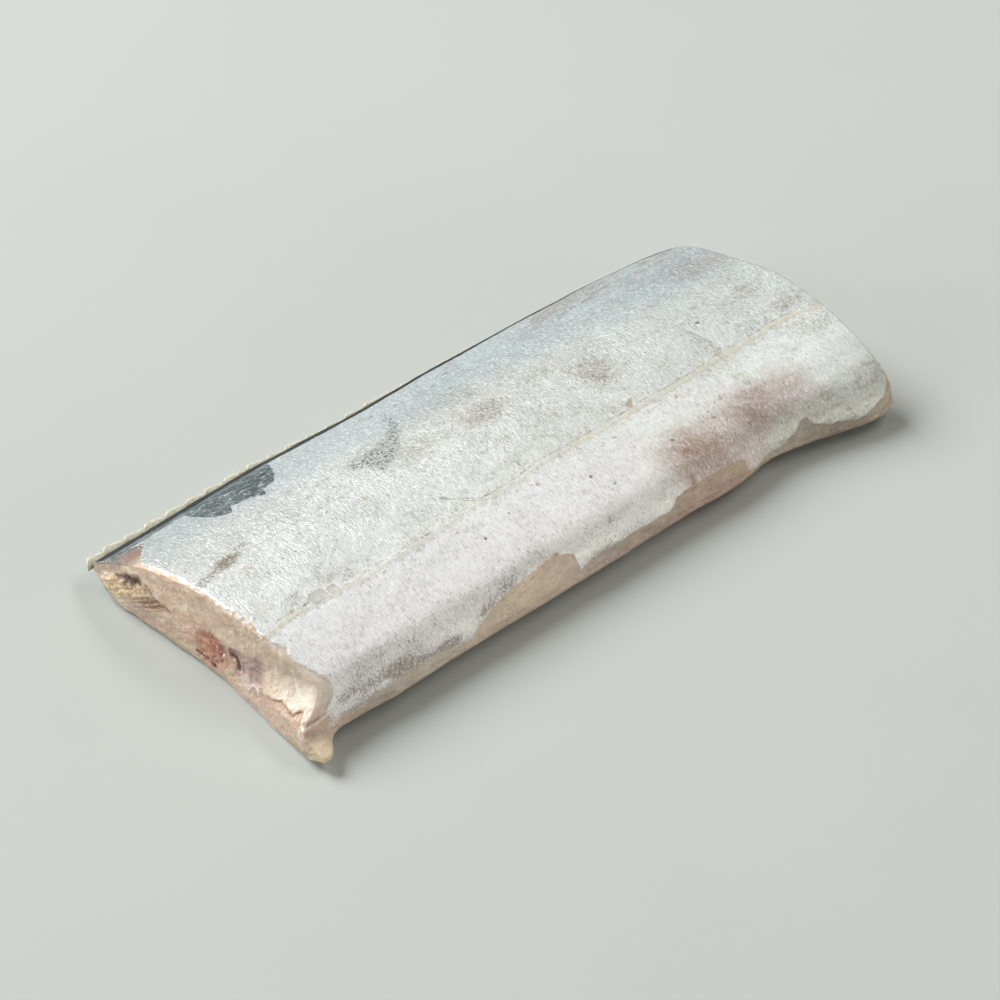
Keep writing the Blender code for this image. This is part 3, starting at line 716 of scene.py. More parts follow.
def face_relief(y, z, side):
    """How far the cut surface stands in (+) or out (-), in millimetres."""
    n1 = fbm(y / 4.2, z / 2.6, 3.0, 4, 83)
    n2 = fbm(y / 1.1, z / 0.9, 1.0, 3, 97)
    n3 = fbm(y / 0.5, z / 0.45, 1.0, 2, 99)
    out = 0.22 * n1 + 0.10 * n2
    if side > 0:
        low = below_seam(y, z)
        out = out - smooth(-19, -23, y) * smooth(8, 9.5, z) * (0.14 * n1 + 0.08 * n2)
        k = line([(-32, 0.0), (-14, 0.08), (5, 0.10), (11, 0.3), (14, 0.8), (20, 1.0),
                  (25, 0.6), (28, 0.0)], y)
        out = out - 0.035 * muscle_rings(y, z)
        out = out + k * 0.34 * shade_line(y, z, SEAM[:11], 0.40)
        out = out + k * (0.26 * np.exp(-((low - 0.7) / 0.8) ** 2) - 0.24 * np.exp(-((low - 3.2) / 1.8) ** 2))
        # the lower fillet rounds over into the underside
        out = out + 0.35 * np.exp(-(z / 1.0) ** 2)
        gold = smooth(-0.7, 0.9, patch(y, z, GOLD))
        beads = fbm(y / 0.8, z / 0.66, 4.0, 2, 91)
        out = out - gold * (0.20 + 0.34 * np.clip(beads, -0.3, 1) + 0.10 * n3)
        deep = smooth(-0.6, 0.9, patch(y, z, HOLLOW))
        out = out + deep * (0.75 + 0.35 * n2)
        strands = 0.5 - 0.5 * np.cos((z * 0.86 + y * 0.50) * 2 * math.pi / 0.95 + 3.5 * n1 + 1.2 * n2)
        streak = smooth(-0.8, 0.8, patch(y, z, STREAK))
        out = out + streak * (0.34 - 0.30 * strands)
        out = out - 0.12 * strands * smooth(-1.5, 0.5, spot(y, z, 24, 4.8, 7.0, 2.4, -12))
        out = out + 0.30 * shade_line(y, z, [(18.6, 9.9), (17.4, 9.2), (16.8, 8.3)], 0.4)
        # oval, blood and the holes beside the bone
        out = out - 0.20 * smooth(-0.3, 1.2, spot(y, z, 5.8, 5.6, 2.2, 2.1, -20))
        red = smooth(-0.8, 1.0, patch(y, z, RED))
        out = out + red * (0.16 + 0.26 * n2 + 0.16 * n3)
        out = out + 1.5 * smooth(-0.22, 0.35, 0.50 - stroke(y, z, [(-6.2, 7.9), (-7.4, 8.0), (-8.1, 7.2), (-8.4, 6.2)]))
        out = out + 0.5 * smooth(-0.2, 0.25, 0.30 - stroke(y, z, [(4.1, 2.7), (3.4, 2.5), (2.4, 2.6)]))
        out = out + 0.3 * smooth(-0.2, 0.25, spot(y, z, -1.0, 2.1, 0.5, 0.35))
        lil = smooth(-0.6, 1.2, patch(y, z, LILAC))
        out = out + lil * (0.18 + 0.20 * n2)
        out = out - 0.32 * shade_line(y, z, [(-12.0, 3.8), (-12.4, 4.8), (-13.3, 5.3), (-14.3, 5.2), (-14.8, 4.4)], 0.26)
        out = out - 0.22 * shade_line(y, z, [(-12.7, 6.6), (-13.2, 5.9), (-14.2, 5.9), (-15.2, 6.3)], 0.22)
        # belly slit: the upper fillet overhangs the lower one
        run = smooth(-16.5, -21.5, y)
        step = smooth(-0.12, 0.26, low + 0.16 * n3) * np.exp(-(np.clip(low, 0, 9) / 2.2) ** 2)
        out = out + run * (0.32 * step - 0.12 * np.exp(-((low + 0.5) / 0.8) ** 2))
        out = out + run * 0.22 * np.exp(-((low - 0.30) / 0.28) ** 2)
        lens = smooth(-0.10, 0.16, patch(y, z, LENS_FACE) + 0.16 * n2)
        out = out - 0.17 * lens
        for pts, w, h in FRAYS:
            out = out - h * shade_line(y, z, pts, w)
        tip = smooth(-27, -31, y) * smooth(7, 5, z)
        out = out + tip * (0.14 * n2 + 0.08 * n3)
    else:
        out = out + 0.30 * fbm(y / 6.0, z / 3.0, 9.0, 3, 84) + 0.10 * n3
        for pts in ([(-13, 9.2), (-6, 10.8), (4, 11.0), (14, 10.2), (22, 8.8)],
                    [(-14, 3.6), (-6, 2.6), (4, 2.4), (14, 3.2), (22, 4.4)]):
            out = out + 0.22 * np.exp(-(stroke(y, z, pts) / 0.5) ** 2)
        d = stroke(y, z, [(-16, 6.4), (-22, 6.0), (-28, 5.0), (-31, 4.2)])
        out = out + 0.55 * np.exp(-(d / 0.45) ** 2)
        out = out + 1.0 * smooth(-0.3, 0.4, spot(y, z, -9.0, 7.6, 1.2, 0.8))
        d = stroke(y, z, [(2, 7.4), (12, 7.2), (22, 7.0), (30, 6.8)])
        out = out + 0.3 * np.exp(-(d / 0.5) ** 2)
        out = out + 0.6 * smooth(-0.5, 0.8, patch(y, z, [(28, 6.0), (24, 8.6), (19, 9.6), (18, 8.0), (23, 6.0)]))
        out = out - 0.035 * muscle_rings(y, z)
    return out


def skin_relief(x, y, z, upper):
    """Height of the skin's own relief along the surface normal, millimetres."""
    h = 0.34 * fbm(x / 26, y / 17, 0, 3, 5) + 0.13 * fbm(x / 7.5, y / 9, 0, 3, 15)
    wr = fbm(x / 1.25 + 0.5 * noise(x / 6, y / 6, 0, 3), y / 5.0, z / 5.0, 3, 31)
    h = h + 0.035 * wr
    lat = np.abs(y - curve(LATERAL, x))
    h = h + (0.07 * np.exp(-(lat / 0.5) ** 2) - 0.05 * np.exp(-((lat - 1.1) / 0.4) ** 2)) * upper
    h = h - 0.07 * np.exp(-(np.abs(y - 6.6 - 0.02 * (x + 45)) / 0.35) ** 2) * smooth(-62, -56, x) * (1 - smooth(-32, -26, x)) * upper
    crack = stroke(x, y, TICKS[5])
    h = h - 0.14 * np.exp(-(crack / 0.45) ** 2) * upper
    rough = (1 - smooth(0, 2.5, np.abs(z - 9.0))) * (y < -20) * (1 - smooth(15, 50, x))
    h = h + 0.14 * rough * fbm(x / 1.6, z / 0.9, 0, 3, 61)
    return h


# ================================================================== meshes ====
def mesh_object(name, verts, faces, smooth_shade=True):
    me = bpy.data.meshes.new(name)
    me.from_pydata([tuple(v) for v in verts], [], faces)
    me.update()
    if smooth_shade:
        me.shade_smooth()
    ob = bpy.data.objects.new(name, me)
    bpy.context.scene.collection.objects.link(ob)
    return ob


def put(me, name, values):
    values = np.ascontiguousarray(values, dtype=np.float32)
    if values.ndim == 1:
        at = me.attributes.new(name, "FLOAT", "POINT")
        at.data.foreach_set("value", values)
    else:
        rgba = np.ones((len(values), 4), np.float32)
        rgba[:, :3] = np.clip(values, 0, 1)
        at = me.attributes.new(name, "FLOAT_COLOR", "POINT")
        at.data.foreach_set("color", rgba.ravel())


def cap_points(outline, hole, pitch, seed):
    """Even points inside an outline and outside a round hole, with the mesh."""
    lo, hi = outline.min(0), outline.max(0)
    rows = np.arange(lo[1], hi[1], pitch * 0.87)
    rng = np.random.default_rng(seed)
    grid = []
    for r, v in enumerate(rows):
        u = np.arange(lo[0] + (r % 2) * pitch / 2, hi[0], pitch)
        grid.append(np.stack([u, np.full_like(u, v)], 1))
    grid = np.concatenate(grid)
    grid += rng.uniform(-0.12, 0.12, grid.shape) * pitch
    f = patch(grid[:, 0], grid[:, 1], [tuple(p) for p in outline])
    keep = f > pitch * 0.55
    keep &= np.hypot(grid[:, 0] - BONE_Y, grid[:, 1] - BONE_Z) > HOLE_RADIUS + pitch * 0.5
    grid = grid[keep]
    pts = np.concatenate([outline, hole, grid])
    m, k = len(outline), len(hole)
    edges = [(i, (i + 1) % m) for i in range(m)]
    edges += [(m + i, m + (i + 1) % k) for i in range(k)]
    out = delaunay_2d_cdt([Vector(p) for p in pts], edges, [], 0, 1e-7, True)
    vs, fs, orig = out[0], out[2], out[3]
    back = [o[0] if o else -1 for o in orig]
    tris = []
    for f in fs:
        idx = [back[i] for i in f]
        if min(idx) < 0:
            raise RuntimeError("cap point lost")
        c = np.mean([pts[i] for i in idx], 0)
        if math.hypot(c[0] - BONE_Y, c[1] - BONE_Z) < HOLE_RADIUS * 0.97:
            continue
        tris.append(tuple(idx))
    inside = patch(np.array([np.mean([pts[i][0] for i in t]) for t in tris]),
                   np.array([np.mean([pts[i][1] for i in t]) for t in tris]),
                   [tuple(p) for p in outline]) > 0
    tris = [t for t, ok in zip(tris, inside) if ok]
    return grid, tris


def build_body():
    fine = 0.27
    top_n = 196
    kinds = ring_plan(top_n, 30, 6)
    m = len(kinds)
    d_near = np.array([0, 0.05, 0.14, 0.27, 0.44, 0.65, 0.9, 1.15, 1.4])
    step1 = 0.36
    step2 = 0.52
    mid = np.concatenate([np.arange(1.4 + step1, 11.0, step1),
                          np.arange(11.0, 2 * HALF_LENGTH - 1.6, step2)])
    d = np.concatenate([d_near, mid, 2 * HALF_LENGTH - np.array([1.2, 0.85, 0.55, 0.3, 0.12, 0.0])])
    n = len(d)
    xs = -HALF_LENGTH + d
    Y, Z = ring_points(xs, kinds)
    X = np.repeat(xs[:, None], m, 1)
    upper = np.array([k in ("top", "belly") or (k == "ridge" and v > 0) for k, v in kinds])
    is_foot = np.array([k == "foot" for k, v in kinds])

    # round the rims of both cuts
    ty = np.roll(Y, -1, 1) - np.roll(Y, 1, 1)
    tz = np.roll(Z, -1, 1) - np.roll(Z, 1, 1)
    ln = np.hypot(ty, tz) + 1e-9
    ny, nz = -tz / ln, ty / ln            # outward for this winding, tested below
    cy, cz = Y.mean(1, keepdims=True), Z.mean(1, keepdims=True)
    sign = np.sign(((Y - cy) * ny + (Z - cz) * nz).sum(1, keepdims=True))
    ny, nz = ny * sign, nz * sign
    depth_top = np.where(is_foot, 0.28, 1.0) * np.ones((n, 1))
    slim = line([(-40, 0.28), (-32, 0.28), (-30.5, 0.5), (-27, 1.0), (-4, 1.0), (6, 0.62),
                 (22, 0.55), (31, 0.5), (34, 0.35), (38, 0.3)], Y)
    for edge, rx, rr in ((d, 1.35, 1.05), (2 * HALF_LENGTH - d, 1.1, 0.9)):
        s = np.clip(1 - edge / rx, 0, 1)[:, None]
        ins = rr * (1 - np.sqrt(np.clip(1 - s * s, 0, 1))) * depth_top * slim
        Y = Y - ny * ins
        Z = Z - nz * ins
    Z = np.maximum(Z, 0.0)

    fade_n, fade_f = np.exp(-d / CUT_FADE)[:, None], np.exp(-(2 * HALF_LENGTH - d) / CUT_FADE)[:, None]
    rel_n, rel_f = np.exp(-(d / 0.9) ** 2)[:, None], np.exp(-((2 * HALF_LENGTH - d) / 0.9) ** 2)[:, None]
    X = X + near_shape(Y, Z) * fade_n + far_shape(Y, Z) * fade_f
    rim_wave = 0.25 * fbm(Y / 2.5, Z / 2.5, 0, 3, 101)
    X = X + (face_relief(Y, Z, 1) * 0.8 + rim_wave) * rel_n - face_relief(Y, Z, -1) * 0.8 * rel_f

    # surface normals of the loft, then relief along them
    P = np.stack([X, Y, Z], -1)
    du = np.gradient(P, axis=0)
    dv = np.roll(P, -1, 1) - np.roll(P, 1, 1)
    N = np.cross(du, dv)
    N /= np.linalg.norm(N, axis=-1, keepdims=True) + 1e-12
    centre = np.stack([X.mean(1), Y.mean(1), Z.mean(1)], -1)[:, None]
    flip = np.sign(((P - centre) * N)[..., 1:].sum((1, 2)))[:, None, None]
    N = N * flip
    up = np.repeat(upper[None], n, 0)
    sk = skin_field(X, Y, Z, up)
    h = skin_relief(X, Y, Z, up.astype(float))
    ragged = sk + 0.55 * fbm(X / 1.5, Y / 1.5, Z / 1.5, 3, 77)
    h = h - 0.26 * (1 - smooth(-0.15, 0.25, ragged)) * smooth(-0.2, 0.5, d)[:, None]
    lie = np.where(Z < 0.6, 0.0, smooth(0.6, 3.0, Z))
    h = h * lie * smooth(0.0, 0.8, d)[:, None] * smooth(0.0, 0.8, 2 * HALF_LENGTH - d)[:, None]
    P = P + N * h[..., None]
    P[..., 2] = np.maximum(P[..., 2], 0.0)
    print("body ring", n, m)

    # caps
    k = 28
    ang = np.linspace(0, 2 * math.pi, k, endpoint=False)
    hole = np.stack([BONE_Y + HOLE_RADIUS * np.cos(ang),
                     BONE_Z + HOLE_RADIUS * np.sin(ang)], 1)
    verts = [P.reshape(-1, 3)]
    faces = []
    for i in range(n - 1):
        a = i * m
        for j in range(m):
            q = (j + 1) % m
            faces.append((a + j, a + q, a + m + q, a + m + j))
    base = n * m
    hole_rows = []
    for end, side, pitch, seed in ((0, 1, fine, 3), (n - 1, -1, 0.5, 4)):
        outline = P[end][:, 1:]
        grid, tris = cap_points(outline, hole, pitch, seed)
        yy = np.concatenate([hole[:, 0], grid[:, 0]])
        zz = np.concatenate([hole[:, 1], grid[:, 1]])
        edge = patch(yy, zz, [tuple(p) for p in outline])
        lift = smooth(0.0, 1.2, edge)
        if side > 0:
            xx = -HALF_LENGTH + near_shape(yy, zz) + face_relief(yy, zz, 1) * (0.8 + 0.2 * lift) + 0.25 * fbm(yy / 2.5, zz / 2.5, 0, 3, 101) * (1 - lift)
        else:
            xx = HALF_LENGTH + far_shape(yy, zz) - face_relief(yy, zz, -1) * (0.8 + 0.2 * lift)
        # the outline's own x differs a little: blend towards it
        verts.append(np.stack([xx, yy, zz], 1))
        start = base
        base += len(xx)
        remap = lambda i: (end * m + i) if i < m else (start + i - m)
        for t in tris:
            if all(m <= i < m + k for i in t):  # a sliver across the channel's mouth
                continue
            f = tuple(remap(i) for i in t)
            faces.append(f if side < 0 else f[::-1])
        hole_rows.append([start + i for i in range(k)])
    # channel of the backbone
    rows = [hole_rows[0]]
    for s in np.linspace(0.04, 0.96, 9):
        xx = -HALF_LENGTH + 2 * HALF_LENGTH * s
        verts.append(np.stack([np.full(k, xx), hole[:, 0], hole[:, 1]], 1))
        rows.append([base + i for i in range(k)])
        base += k
    rows.append(hole_rows[1])
    for r0, r1 in zip(rows, rows[1:]):
        for j in range(k):
            q = (j + 1) % k
            faces.append((r0[j], r1[j], r1[q], r0[q]))
    V = np.concatenate(verts)
    ob = mesh_object("hairtail_body", world(V[:, 0], V[:, 1], V[:, 2]), faces)
    me = ob.data
    import bmesh
    bm = bmesh.new()
    bm.from_mesh(me)
    bmesh.ops.recalc_face_normals(bm, faces=bm.faces[:])
    print("body open edges", sum(1 for e in bm.edges if not e.is_manifold),
          "tris", sum(len(f.verts) - 2 for f in bm.faces))
    bm.to_mesh(me)
    bm.free()
    me.shade_smooth()

    # ------------------------------------------------ what the material reads
    x, y, z = V[:, 0], V[:, 1], V[:, 2]
    ringmask = np.zeros(len(V), bool)
    ringmask[:n * m] = True
    up_all = np.zeros(len(V), bool)
    up_all[:n * m] = np.repeat(upper[None], n, 0).ravel()
    sk = skin_field(x, y, z, up_all)
    face_n = np.zeros(len(V))
    dd = np.full(len(V), 0.0)
    dd[:n * m] = np.repeat(d[:, None], m, 1).ravel()
    cut_n = np.zeros(len(V), bool)
    cut_f = np.zeros(len(V), bool)
    channel = len(V) - 9 * k
    cut_n[n * m:channel] = V[n * m:channel, 0] < 0
    cut_f[n * m:channel] = V[n * m:channel, 0] >= 0
    sk = np.where(~ringmask, -2.5, sk)
    # skin comes to the rim on the underside and stops at it on the far cut
    sk = np.where(ringmask & (dd < 0.5) & up_all, np.minimum(sk, -0.6 + dd), sk)
    far_d = 2 * HALF_LENGTH - dd
    sk = np.where(ringmask & (far_d < 0.7), np.minimum(sk, far_d * 2.2 - 0.9), sk)
    put(me, "skin", np.clip(sk, -3, 3))

    top = up_all & ringmask
    rz = curve(BACK_EDGE, x)
    band = y - (rz - line(RIDGE_BAND, x)) + 0.25 * fbm(x / 2.2, y, 0, 3, 17)
    dark = np.where(ringmask & (y > 28), band, -3)
    dark = np.where(ringmask & ~up_all, np.where(y > 30, (y - rz) + 1.3, -3), dark)
    big = patch(x, y, DARK_PATCH) + 0.35 * fbm(x / 1.6, y / 2.4, 0, 3, 19)
    dark = np.where(top, np.maximum(dark, big), dark)
    put(me, "dark", np.clip(dark, -3, 3))
    hb = z - line(BARE_BELLY, x)
    band_w = line([(-75, 4.2), (-62, 4.0), (-52, 3.2), (-44, 2.2), (-36, 1.6), (-14, 1.5), (0, 1.5)], x)
    band_k = line([(-78, 0.5), (-72, 0.9), (-66, 1.0), (-50, 1.0), (-40, 0.95), (-36, 0.6),
                   (-33, 0.75), (-15, 0.75), (-11, 0.3), (-8, 0.45), (-5, 0.7), (2, 0.7),
                   (10, 0.45), (17, 0.3), (22, 0.4), (36, 0.4), (42, 0.15), (78, 0.15)], x)
    hug = (band_k * (0.80 + 0.9 * fbm(x / 4.2, z / 2.0, 0, 3, 66))
           * np.exp(-((hb - 0.9) / band_w) ** 2) * (y < -20))
    hug = np.clip(hug, 0, 1)
    put(me, "rub", np.where(top, np.maximum(rubs(x, y), hug), 0.15 * (~up_all)))
    fuzz = line([(-78, 0.4), (-72, 1.0), (-38, 1.0), (-36, 0.5), (-34, 0.6), (-14, 0.5),
                 (-11, 0.05), (-6, 0.3), (2, 0.3), (8, 0.1), (30, 0.2), (38, 0.05), (78, 0.05)], x)
    put(me, "fuzz", np.where(top & (y < -22), fuzz, 0.0))
    put(me, "metal", line([(-31, 0.28), (-24, 0.34), (-16, 0.44), (-8, 0.42), (0, 0.36), (36, 0.40)], y))
    put(me, "strip", (smooth(-74, -68, x) * (y < -22) * ringmask * (z > 0.4)).astype(float))
    put(me, "rough_patch", np.where(top, np.clip(patch(x, y, ROUGH_PATCH), -3, 3), -3))
    fl = np.full(len(V), -3.0)
    for cx, cy, rx, ry, turn in FLECKS:
        fl = np.maximum(fl, spot(x, y, cx, cy, rx, ry, turn))
    for cx, cy, rx, ry in ((-60, -11.8, 1.8, 1.05), (-56.4, -11.9, 1.0, 0.75)):
        fl = np.maximum(fl, 0.0 * x - 3)
    put(me, "fleck", np.where(top, np.clip(fl, -3, 3), -3))
    sp = np.full(len(V), -3.0)
    for cx, cy, rx, ry in SPECKS:
        sp = np.maximum(sp, spot(x, y, cx, cy, rx, ry))
    put(me, "speck", np.where(top, np.clip(sp, -3, 3), -3))
    tk = np.full(len(V), -3.0)
    for t in TICKS:
        tk = np.maximum(tk, 0.20 - stroke(x + 0.25 * fbm(x, y, 0, 3, 12), y, t))
    tk = np.maximum(tk, 0.16 - np.abs(stroke(x, y, CURL) - 0.28))
    tk = np.maximum(tk, 0.16 - np.abs(np.hypot(x - 69.8, y + 23.5) - 0.9 - 0.2 * fbm(x, y, 0, 2, 6)))
    put(me, "tick", np.where(top, np.clip(tk, -3, 3), -3))
    put(me, "ridge", np.where(ringmask & (y > 20), np.clip(rz + 0.45 - y, 0, 6), 6))
    put(me, "black_w", line([(-80, 3.2), (-60, 3.5), (-40, 3.3), (-10, 2.9), (15, 2.4), (40, 1.9),
                             (50, 1.3), (60, 1.0), (80, 1.0)], x) + 0.0 * x)
    put(me, "near_edge", np.where(top & (x < -60), 1.0, 0.25))
    put(me, "freckle", np.where(top, freckles(x, y), 0.3))
    put(me, "dirt", np.where(top, soiled(x, y), 0.25))
    win = np.maximum(rounded(x, y, -60, -11.8, 1.75, 1.1, 0.7), rounded(x, y, -56.5, -12.0, 0.95, 0.75, 0.5))
    put(me, "window", np.where(top, np.clip(win, -3, 3), -3))
    lat = y - curve(LATERAL, x)
    put(me, "lateral", np.where(top, np.clip(lat, -3, 3), 3))
    put(me, "lat_wide", line([(-79, 0.68), (-60, 0.55), (-45, 0.48), (-25, 0.55), (-10, 0.55), (0, 0.72),
                              (15, 0.92), (35, 1.05), (60, 1.1), (79, 0.9)], x) + 0.0 * x)
    old = y - (6.6 + 0.02 * (x + 45))
    put(me, "old_line", np.where(top & (x > -62) & (x < -27), np.clip(old, -3, 3), 3))

    top_of = curve(DOME, np.clip((36 - y) / 67, 0, 1)) * TOP_HEIGHT_NEAR
    depth = np.clip(top_of - z, -1, 20)
    fc = flesh_colour(x, y, z, depth)
    nearish = cut_n | (ringmask & (x < -68))
    fc = np.where(nearish[:, None], face_paint(fc, y, z, 1), fc)
    fc = np.where(cut_f[:, None], face_paint(fc, y, z, -1), fc)
    lens = smooth(-0.2, 0.3, patch(y, z, LENS_FACE) + 0.25 * fbm(y / 1.1, z / 0.9, 1.0, 3, 97))
    lens = lens * (x < -66)
    fc = np.where(nearish[:, None], mix(fc, LENS, np.clip(0.62 * lens, 0, 1)), fc)
    flap = nearish * smooth(-19.5, -24.0, y) * smooth(7.5, 9.0, z)
    fc = fc * (1 + 0.03 * flap)[:, None]
    # painted highlight: a pale rim round the lower part of the lens of flesh
    lens_rim_highlight = np.exp(-(patch(y, z, LENS_FACE) / 0.22) ** 2) * nearish * (y < -21)
    fc = mix(fc, srgb(240, 232, 220), np.clip(0.6 * lens_rim_highlight, 0, 1))
    # the skin's edge along the foot of the near cut, dark olive, partly painted shade where the cut meets the underside
    skin_edge_shade_line = np.exp(-((z - foot_z(x, y) - 0.25) / 0.28) ** 2) * cut_n
    fc = mix(fc, srgb(170, 156, 134), 0.6 * skin_edge_shade_line)
    corner = ringmask & (y > 20) & (x < -66)
    nc = fbm(x / 1.1, y / 0.8, 0, 4, 35)
    under = smooth(22.5, 25.5, y + 0.8 * nc) * corner
    fc = mix(fc, srgb(162, 147, 138), 0.80 * under)
    strip = smooth(-0.35, 0.35, patch(x, y, [(-76.4, 28.8), (-77.4, 25.6), (-76.6, 24.0), (-74.4, 24.1), (-72.1, 26.7), (-73.1, 27.8)]) + 0.9 * nc) * corner
    fc = mix(fc, srgb(190, 140, 112), 0.70 * strip)
    fc = mix(fc, srgb(150, 100, 74), 0.6 * strip * smooth(0.1, 0.4, nc))
    fc = fc * (1 - 0.46 * corner * smooth(20.5, 23.5, y + 0.8 * nc))[:, None]
    mauve = smooth(-0.5, 0.4, patch(x, y, [(-79, 30.8), (-76.5, 31.2), (-72.4, 30.6), (-72.0, 29.2), (-76, 29.4), (-79, 28.4)]) + 0.8 * nc) * corner
    fc = mix(fc, srgb(118, 110, 112), 0.85 * mauve)
    tip = smooth(-31.0, -33.0, y) * (x < -68)
    fc = mix(fc, FLESH_TIP, 0.85 * tip)
    deep = ~ringmask & ~cut_n & ~cut_f
    fc = np.where(deep[:, None], srgb(96, 44, 36), fc)
    put(me, "flesh_col", fc)
    put(me, "skin_col", skin_colour(x, y, z))
    wet = np.where(cut_n | cut_f, 1.0, 0.6)
    lens_wet = np.clip(lens, 0, 1)
    mass = nearish * smooth(-1.5, 1.5, spot(y, z, 22.5, 5.8, 8.5, 3.6, -10))
    wet = np.maximum(wet * 0.35, np.maximum(0.5 * lens_wet, mass))
    put(me, "wet", wet)
    put(me, "flap", flap.astype(float))
    return ob


# =============================================================== materials ====
class Net:
    """Small helper for node networks."""

    def __init__(self, name):
        self.mat = bpy.data.materials.new(name)
        self.mat.use_nodes = True
        self.nt = self.mat.node_tree
        self.bsdf = self.nt.nodes["Principled BSDF"]
        self.x = -1800

    def node(self, kind, **props):
        nd = self.nt.nodes.new(kind)
        nd.location = (self.x, 0)
        self.x += 20
        for k, v in props.items():
            setattr(nd, k, v)
        return nd

    def link(self, a, b):
        self.nt.links.new(a, b)

    def value(self, sock, v):
        if isinstance(v, bpy.types.NodeSocket):
            self.link(v, sock)
        elif isinstance(v, (tuple, list, np.ndarray)) and len(v) == 3 and sock.type == "RGBA":
            sock.default_value = (float(v[0]), float(v[1]), float(v[2]), 1.0)
        else:
            sock.default_value = v

    def attr(self, name, colour=False):
        nd = self.node("ShaderNodeAttribute", attribute_name=name)
        return nd.outputs["Color" if colour else "Fac"]

    def math(self, op, a, b=0.5, c=None, clamp=False):
        nd = self.node("ShaderNodeMath", operation=op, use_clamp=clamp)
        self.value(nd.inputs[0], a)
        self.value(nd.inputs[1], b)
        if c is not None:
            self.value(nd.inputs[2], c)
        return nd.outputs[0]

    def edge(self, v, a, soft):
        """1 below a, 0 above it, over a soft width; a may be an attribute."""
        gap = self.math("SUBTRACT", a, v)
        return self.math("MULTIPLY_ADD", gap, 1.0 / soft, 0.5, clamp=True)

    def step(self, v, a, b):
        """Smooth step from 0 at a to 1 at b."""
        nd = self.node("ShaderNodeMapRange", interpolation_type="SMOOTHSTEP", clamp=True)
        self.value(nd.inputs["Value"], v)
        nd.inputs["From Min"].default_value = a
        nd.inputs["From Max"].default_value = b
        return nd.outputs["Result"]

    def ranged(self, v, a, b, c, d):
        nd = self.node("ShaderNodeMapRange", clamp=True)
        self.value(nd.inputs["Value"], v)
        for key, val in (("From Min", a), ("From Max", b), ("To Min", c), ("To Max", d)):
            nd.inputs[key].default_value = val
        return nd.outputs["Result"]

    def place(self, scale, turn=0.0, shift=(0, 0, 0)):
        """Object coordinates in millimetres, turned about z and scaled."""
        if not hasattr(self, "_co"):
            tc = self.node("ShaderNodeTexCoord")
            self._co = tc.outputs["Object"]
        mp = self.node("ShaderNodeMapping", vector_type="TEXTURE")
        self.link(self._co, mp.inputs["Vector"])
        mp.inputs["Rotation"].default_value = (0, 0, math.radians(turn))
        mp.inputs["Location"].default_value = tuple(0.013 * s for s in shift)
        mp.inputs["Scale"].default_value = tuple(0.001 / s for s in scale)
        return mp.outputs["Vector"]

    def noise(self, scale, turn=0.0, detail=4.0, rough=0.55, distort=0.0, shift=(0, 0, 0)):
        nd = self.node("ShaderNodeTexNoise")
        self.link(self.place(scale, turn, shift), nd.inputs["Vector"])
        nd.inputs["Scale"].default_value = 1.0
        nd.inputs["Detail"].default_value = detail
        nd.inputs["Roughness"].default_value = rough
        nd.inputs["Distortion"].default_value = distort
        return nd.outputs["Fac"]

    def mix(self, a, b, t, blend="MIX"):
        nd = self.node("ShaderNodeMix", data_type="RGBA", blend_type=blend)
        nd.clamp_factor = True
        self.value(nd.inputs["Factor"], t)
        self.value(nd.inputs["A"], a) if False else self.value(nd.inputs[6], a)
        self.value(nd.inputs[7], b)
        return nd.outputs[2]

    def bump(self, height, strength, distance, normal=None):
        nd = self.node("ShaderNodeBump")
        nd.inputs["Strength"].default_value = strength
        nd.inputs["Distance"].default_value = distance
        self.link(height, nd.inputs["Height"])
        if normal is not None:
            self.link(normal, nd.inputs["Normal"])
        return nd.outputs["Normal"]


